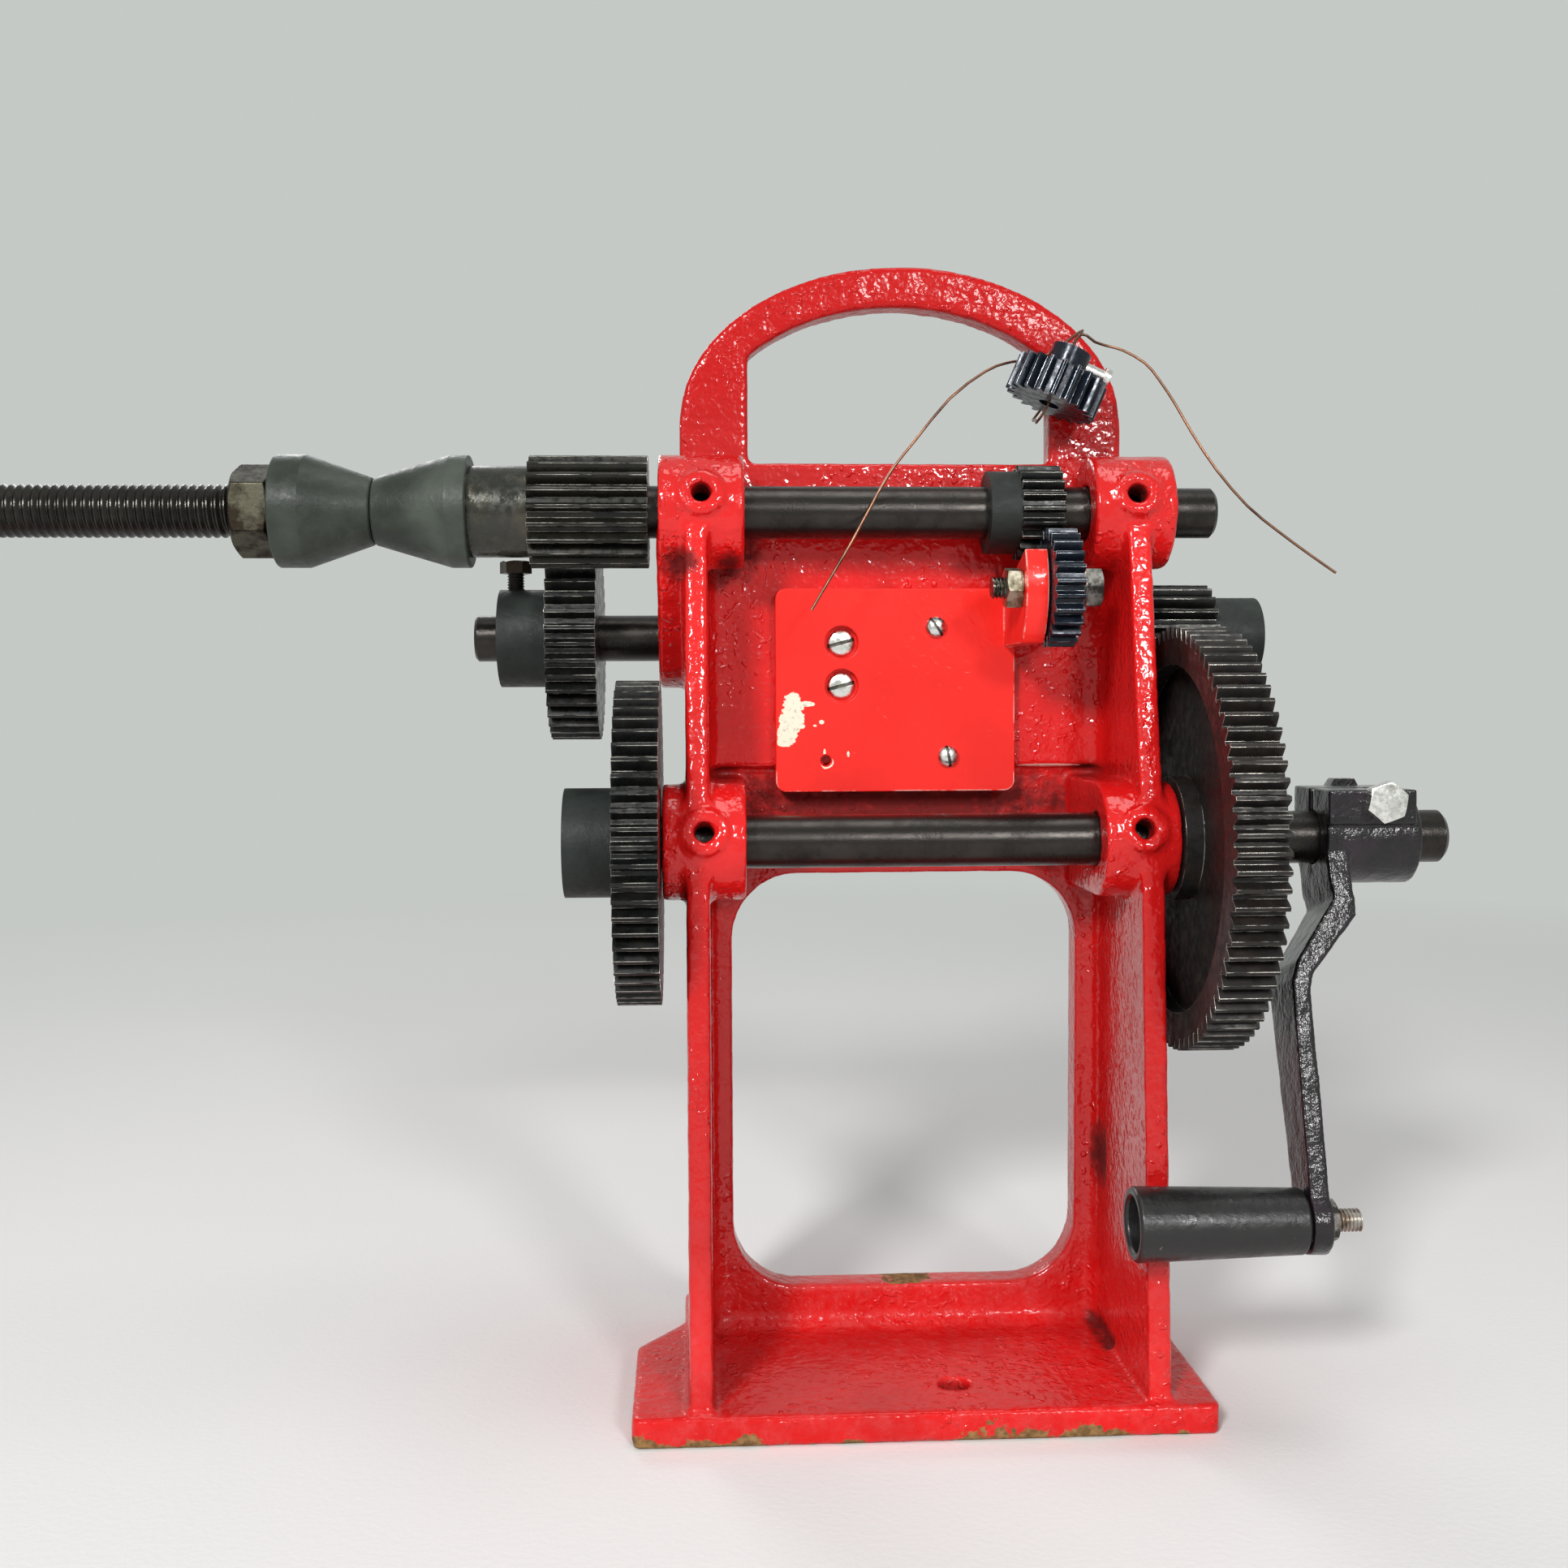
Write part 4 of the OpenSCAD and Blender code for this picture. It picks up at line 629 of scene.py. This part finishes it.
def cast_copy(node, voxel, rounds, lump, lump_size, keep):
    """A node's mesh made even by voxels and smoothed, with the low lumps of a rough casting."""
    shape = merged_copy(node)
    mesh = bpy.data.meshes.new(node + "_voxels")
    shape.to_mesh(mesh)
    shape.free()
    carrier = add(node + "_voxels", mesh)
    remesh = carrier.modifiers.new("voxels", "REMESH")
    remesh.mode = "VOXEL"
    remesh.voxel_size = voxel
    remesh.adaptivity = 0
    smooth = carrier.modifiers.new("smooth", "SMOOTH")
    smooth.factor = 0.5
    smooth.iterations = rounds
    if keep < 1:
        fewer = carrier.modifiers.new("fewer", "DECIMATE")
        fewer.ratio = keep
    graph = bpy.context.evaluated_depsgraph_get()
    even = bpy.data.meshes.new_from_object(carrier.evaluated_get(graph))
    bpy.data.objects.remove(carrier)
    shape = bmesh.new()
    shape.from_mesh(even)
    bpy.data.meshes.remove(even)
    shape.normal_update()
    low, high, _ = span(node)
    for v in shape.verts:
        v.co += v.normal * lump * noise.noise(v.co / lump_size)
        v.co = Vector(min(max(at, a), b) for at, a, b in zip(v.co, low, high))
    return shape


# ---- the machine ----

BOLT_D = 6 * MM
BOLT_PITCH = 1.0 * MM
BOLT_THREAD = 0.55 * MM
SMALL_HEX = 10 * MM
SMALL_HEAD_H = 4 * MM
SMALL_STEPS = 28

SPINDLE_PITCH = 2.3 * MM
SPINDLE_THREAD = 0.8 * MM
THREAD_GAP = 1.5 * MM
STUB_L = 13.7 * MM
STUB_STEP = 0.25 * MM
STUB_LAP = 0.4 * MM

CONE_NECK_R = 9.2 * MM
CONE_BORE_R = 7.3 * MM
CONE_EDGE = 0.45 * MM

GEAR_SCREW_R = 2.5 * MM
GEAR_SCREW_THREAD = 0.4 * MM
GEAR_SCREW_PITCH = 0.8 * MM
GEAR_SCREW_HEX = 8 * MM
GEAR_SCREW_HEAD_H = 3.6 * MM

BRACKET_HEAD_H = 2 * MM
BRACKET_HEAD_PLAY = 0.2 * MM
BRACKET_SCREW = {"shank_r": 2.4 * MM, "flat": 0.7 * MM, "dome": 0.9 * MM,
                 "slot_w": 1.0 * MM, "slot_deep": 0.8 * MM}
COUNTER_HEAD_D = 6.1 * MM
COUNTER_HEAD_H = 2.2 * MM
COUNTER_SCREW = {"shank_r": 1.7 * MM, "flat": 0.6 * MM, "dome": 1.6 * MM,
                 "slot_w": 0.8 * MM, "slot_deep": 1.0 * MM}

# Rough pieces: voxel, rounds of smoothing, height and width of the lumps, share of triangles kept
FRAME_CAST = (0.95 * MM, 5, 0.14 * MM, 5 * MM, 0.42)
CRANK_CAST = (0.55 * MM, 5, 0.12 * MM, 4 * MM, 1.0)


def span(node):
    """A node's lowest corner, highest corner and middle."""
    low, high = (Vector(corner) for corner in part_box(node))
    return low, high, (low + high) / 2


def on_axis(node, x):
    """The point at x on the axis of a node that is round about X."""
    middle = span(node)[2]
    return Vector((x, middle.y, middle.z))


def round_bar(node, radius, x0, x1, ease):
    """A plain bar from x0 to x1 on a node's axis, its ends eased."""
    length = x1 - x0
    profile = ((0, 0), (0, radius - ease), (ease, radius),
               (length - ease, radius), (length, radius - ease), (length, 0))
    return put(lathe(profile), on_axis(node, x0), (1, 0, 0))


def make_frame():
    casting = cast_copy("frame_casting", *FRAME_CAST)
    new_piece("painted_frame", casting, ["frame_casting"], [FRAME_RED], 180, weighted=False)
    plate = eased_copy("counter_bracket", 0.4 * MM, segments=3, worn=True)
    new_piece("painted_bracket", plate, ["counter_bracket"], [BRACKET_RED, RUBBED_AND_HIGHLIT_RED])


def make_gears():
    """The gears. hub_l is the length of a hub in mm, below 0 for a hub on the left."""
    for node, ease, finish, edge, hub, hub_l in (
        ("spindle_pinion", 0.10, GREASED, WORN, COLLAR, -16.2),
        ("sliding_gear", 0.10, BLACK, WORN, HUB, -14.8),
        ("countershaft_pinion", 0.10, BLACK, WORN, HUB, 14.5),
        ("low_speed_gear", 0.10, BLACK, WORN, HUB, -14.2),
        ("drive_gear", 0.12, DRIVE_BLACK, WORN, HUB, 0),
        ("counter_drive_gear", 0.09, BLACK, WORN, HUB, -8.6),
        ("idler_gear", 0.09, BLUED, WORN_BLUE, HUB, 0),
        ("spare_counter_gear", 0.09, BLUED, WORN_BLUE, HUB, 0),
    ):
        low, high, _ = span(node)
        shape = eased_copy(node, ease * MM, worn=True)
        if hub_l < 0:
            coat_between(shape, low.x, low.x - hub_l * MM, 2)
        elif hub_l > 0:
            coat_between(shape, high.x - hub_l * MM, high.x, 2)
        new_piece(node + "_cut", shape, [node], [finish, edge, hub])


def make_shafts():
    low, high, _ = span("spindle_shaft")
    radius = (high.y - low.y) / 2
    thread_end = span("inner_cone")[0].x - THREAD_GAP
    boss_end = high.x - STUB_L
    thread = helix_rod(radius, SPINDLE_THREAD, SPINDLE_PITCH, thread_end - low.x)
    put(thread, on_axis("spindle_shaft", low.x), (1, 0, 0))
    plain = coat(round_bar("spindle_shaft", radius, thread_end, boss_end + STUB_LAP, 0.1 * MM), 1)
    stub = coat(round_bar("spindle_shaft", radius - STUB_STEP, boss_end, high.x, 1.0 * MM), 1)
    new_piece("threaded_spindle", together(thread, plain, stub), ["spindle_shaft"], [THREAD, SHAFT])
    for node, ease in (("main_shaft", 1.2), ("countershaft", 0.8)):
        low, high, _ = span(node)
        bar = round_bar(node, (high.y - low.y) / 2, low.x, high.x, ease * MM)
        new_piece(node + "_turned", bar, [node], [SHAFT])


def make_cones():
    """Turned cones, each with a short straight rim at its wide end, and the nut that holds them."""
    for node, rim, wide_first in (("outer_cone", 8.4, True), ("inner_cone", 5.6, False)):
        low, high, _ = span(node)
        wide, length, rim = (high.y - low.y) / 2, high.x - low.x, rim * MM
        profile = [
            (0, CONE_BORE_R), (0, wide - CONE_EDGE), (0.15 * MM, wide - 0.35 * CONE_EDGE), (CONE_EDGE, wide),
            (rim - 0.3 * MM, wide), (rim, wide - 0.06 * MM),
            (length - 0.4 * MM, CONE_NECK_R + 0.1 * MM), (length, CONE_NECK_R - 0.3 * MM),
            (length, CONE_BORE_R),
        ]
        if not wide_first:
            profile = [(length - along, r) for along, r in reversed(profile)]
        shape = put(lathe(profile, 128), on_axis(node, low.x), (1, 0, 0))
        new_piece(node + "_turned", shape, [node], [CONE], 15)
    new_piece("spindle_nut_worn", eased_copy("spindle_nut", 0.4 * MM, segments=3), ["spindle_nut"], [NUT])


def bolt_thread(length):
    return helix_rod(BOLT_D / 2, BOLT_THREAD, BOLT_PITCH, length, SMALL_STEPS)


def thread_stub(node, x0, x1):
    return put(bolt_thread(x1 - x0), on_axis(node, x0), (1, 0, 0))


def make_idler_bolt():
    low, high, _ = span("idler_bolt")
    nut_low, nut_high, _ = span("idler_nut")
    head_x = span("idler_washer")[1].x
    thread = thread_stub("idler_bolt", low.x, nut_high.x)
    shank = round_bar("idler_bolt", BOLT_D / 2, nut_high.x, head_x + 0.2 * MM, 0.05 * MM)
    head = put(hexagon(SMALL_HEX, high.x - head_x), on_axis("idler_bolt", head_x), (1, 0, 0))
    bolt = together(thread, shank, coat(head, 1))
    new_piece("idler_bolt_made", bolt, ["idler_bolt"], [DARK_THREAD, GREY_ZINC])
    nut = hexagon(SMALL_HEX, nut_high.x - nut_low.x, both_ends=True)
    put(nut, on_axis("idler_nut", nut_low.x), (1, 0, 0), 12)
    new_piece("idler_nut_made", nut, ["idler_nut"], [OLIVE_ZINC])


def make_clamp_bolt():
    low, high, _ = span("crank_clamp_bolt")
    nut_low, nut_high, middle = span("crank_clamp_nut")
    seat = Vector((middle.x, low.y + SMALL_HEAD_H, middle.z))
    head = put(hexagon(SMALL_HEX, SMALL_HEAD_H), seat, (0, -1, 0), -10)
    shank = put(bolt_thread(high.y - seat.y), seat, (0, 1, 0))
    bolt = together(head, coat(shank, 1))
    new_piece("crank_clamp_bolt_made", bolt, ["crank_clamp_bolt"], [BRIGHT_ZINC, DARK_THREAD])
    nut = hexagon(SMALL_HEX, nut_high.y - nut_low.y)
    put(nut, Vector((middle.x, nut_low.y, middle.z)), (0, 1, 0), 30)
    new_piece("crank_clamp_nut_made", nut, ["crank_clamp_nut"], [JAPAN])


def make_grip_bolt():
    low, high, _ = span("grip_bolt")
    nut_low, nut_high, _ = span("grip_nut")
    head_end = low.x + SMALL_HEAD_H
    shank = round_bar("grip_bolt", BOLT_D / 2, head_end, nut_low.x, 0.05 * MM)
    thread = thread_stub("grip_bolt", nut_low.x, high.x)
    head = round_bar("grip_bolt", SMALL_HEX / 2, low.x, head_end, 0.8 * MM)
    bolt = together(thread, shank, coat(head, 1))
    new_piece("grip_bolt_made", bolt, ["grip_bolt"], [RUSTY_THREAD, GREY_ZINC])
    nut = put(hexagon(SMALL_HEX, nut_high.x - nut_low.x), on_axis("grip_nut", nut_low.x), (1, 0, 0), 90)
    new_piece("grip_nut_made", nut, ["grip_nut"], [GREY_ZINC])


def make_gear_screw():
    """The hexagon screw that locks the sliding gear."""
    low, high, middle = span("sliding_gear_screw")
    head_z = high.z - GEAR_SCREW_HEAD_H
    shank = helix_rod(GEAR_SCREW_R, GEAR_SCREW_THREAD, GEAR_SCREW_PITCH, head_z - low.z, SMALL_STEPS)
    put(shank, Vector((middle.x, middle.y, low.z)), (0, 0, 1))
    head = hexagon(GEAR_SCREW_HEX, GEAR_SCREW_HEAD_H)
    put(head, Vector((middle.x, middle.y, head_z)), (0, 0, 1), 30)
    screw = together(shank, coat(head, 1))
    new_piece("sliding_gear_screw_made", screw, ["sliding_gear_screw"], [BLACK_STEEL, BROWN_STEEL])


def domed_screw(head_r, length, shank_r, flat, dome, slot_w, slot_deep):
    """A slotted screw along local Z. Its head stands from 0 to flat and is domed up to flat + dome.
    The slot's floor and walls get material 1, which the screws use for the slot's painted shade."""
    arc = [math.radians(a) for a in range(0, 91, 10)]
    profile = [(-length, 0), (-length, shank_r), (0, shank_r), (0, head_r)]
    profile += [(flat + dome * math.sin(a), head_r * math.cos(a)) for a in arc]
    shape = lathe(profile, 48)
    for side in (-1, 1):
        cut_plane(shape, (0, side * slot_w / 2, 0), (0, side, 0), drop=False)
    middles = [(face, face.calc_center_median()) for face in shape.faces]
    slot = [face for face, middle in middles if abs(middle.y) < slot_w / 2 and middle.z > flat]
    sunk = bmesh.ops.extrude_face_region(shape, geom=slot)["geom"]
    bmesh.ops.delete(shape, geom=slot, context="FACES_ONLY")
    floor = [v for v in sunk if isinstance(v, bmesh.types.BMVert)]
    bmesh.ops.translate(shape, verts=floor, vec=(0, 0, -slot_deep))
    for face in shape.faces:
        middle = face.calc_center_median()
        off_centre = abs(middle.y) / (slot_w / 2)
        near_slot = off_centre < 1.05 and middle.z > flat + dome - slot_deep * 2.2
        wall = abs(face.normal.y) > 0.9 and middle.z > flat - slot_deep and abs(middle.x) < head_r * 0.95
        face.material_index = int(near_slot and (wall or off_centre < 0.98))
    return shape


def make_screws():
    low, high, middle = span("bracket_screws")
    radius = (high.x - low.x) / 2
    head_r, seat = radius - BRACKET_HEAD_PLAY, low.y + BRACKET_HEAD_H
    screws = [
        put(domed_screw(head_r, high.y - seat, **BRACKET_SCREW), Vector((middle.x, seat, z)), (0, -1, 0), 15)
        for z in (high.z - radius, low.z + radius)
    ]
    new_piece("bracket_screws_made", together(*screws), ["bracket_screws"], [BRIGHT_ZINC, SLOT_SHADE])
    low, high, _ = span("counter_screws")
    radius, seat = COUNTER_HEAD_D / 2, low.y + COUNTER_HEAD_H
    screws = [
        put(domed_screw(radius, high.y - seat, **COUNTER_SCREW), Vector((x, seat, z)), (0, -1, 0), turn)
        for x, z, turn in ((low.x + radius, high.z - radius, 125), (high.x - radius, low.z + radius, 100))
    ]
    new_piece("counter_screws_made", together(*screws), ["counter_screws"], [BRIGHT_ZINC, SLOT_SHADE])


def make_small():
    for node, ease, finish in (
        ("spare_gear_screw", 0.15, BRIGHT_ZINC), ("counter_gear_screw", 0.12, SET_STEEL),
        ("pinion_set_screw", 0.12, SET_STEEL), ("drive_gear_screw", 0.12, SET_STEEL),
        ("low_gear_screw", 0.12, SET_STEEL), ("idler_washer", 0.25, GREY_ZINC), ("crank_grip", 0.3, GRIP),
    ):
        new_piece(node + "_made", eased_copy(node, ease * MM), [node], [finish])


def make_crank():
    forging = cast_copy("crank_arm", *CRANK_CAST)
    new_piece("forged_crank", forging, ["crank_arm"], [JAPAN], 180, weighted=False)


def make_wire():
    new_piece("copper_tie", merged_copy("tie_wire"), ["tie_wire"], [COPPER], 80, weighted=False)


FRAME_RED = frame_enamel()
BRACKET_RED = bracket_enamel()
RUBBED_AND_HIGHLIT_RED = rubbed_and_highlit_enamel("rubbed_and_highlit_red", BRACKET_TONE)
BLACK = oiled_iron("black_gear", (0.0060, 0.0070, 0.0066))
GREASED = oiled_iron("greased_gear", (0.011, 0.0110, 0.0085), 0.26)
DRIVE_BLACK = oiled_iron("drive_gear_black", (0.011, 0.009, 0.0085), 0.45, 0.1, 0.06)
BLUED = oiled_iron("blued_gear", (0.007, 0.011, 0.019), 0.24, 0.3, 0.02)
WORN = worn_edge("worn_teeth", (0.022, 0.023, 0.021), (0.42, 0.40, 0.36))
WORN_BLUE = worn_edge("worn_blue_teeth", (0.02, 0.024, 0.03), (0.38, 0.42, 0.46))
HUB = dull_iron("dark_hub", (0.0135, 0.0168, 0.0150))
CONE = dull_iron("cone_iron", (0.035, 0.043, 0.034), 0.42, 0.13)
COLLAR = oiled_iron("oily_collar", (0.056, 0.057, 0.050), 0.20, 0.85, 0.05)
SHAFT = turned_bar("dark_shaft", (0.043, 0.038, 0.034), 0.17)
THREAD = turned_bar("oily_thread", (0.038, 0.035, 0.031), 0.16)
NUT = plated("worn_nut", (0.074, 0.070, 0.050), (0.022, 0.017, 0.012), 0.38, 0.50, 160)
SET_STEEL = plated("set_screw_steel", (0.12, 0.12, 0.115), (0.04, 0.035, 0.03), 0.35)
BLACK_STEEL = oiled_iron("black_screw", (0.03, 0.03, 0.029), 0.32)
BROWN_STEEL = oiled_iron("brown_screw", (0.045, 0.030, 0.018), 0.32)
BRIGHT_ZINC = plated("bright_zinc", (0.78, 0.77, 0.74), (0.40, 0.38, 0.30), 0.20, 0.62)
# Darker steel for the screw slots: painted shade.
SLOT_SHADE = plated("slot_painted_shade", (0.16, 0.15, 0.13), (0.03, 0.027, 0.022), 0.4)
GREY_ZINC = plated("grey_zinc", (0.34, 0.325, 0.30), (0.06, 0.055, 0.05), 0.28, 0.46)
OLIVE_ZINC = plated("olive_zinc", (0.50, 0.47, 0.36), (0.16, 0.13, 0.075), 0.32, 0.50)
DARK_THREAD = plated("dark_thread", (0.34, 0.33, 0.30), (0.08, 0.07, 0.055), 0.28, 0.46)
RUSTY_THREAD = plated("rusty_thread", (0.52, 0.49, 0.45), (0.20, 0.14, 0.09), 0.32, 0.52)
JAPAN = japanned()
GRIP = grip_black()
COPPER = copper()

set_camera()
set_light()
set_ground()
make_frame()
make_gears()
make_shafts()
make_cones()
make_idler_bolt()
make_clamp_bolt()
make_grip_bolt()
make_gear_screw()
make_screws()
make_small()
make_crank()
make_wire()
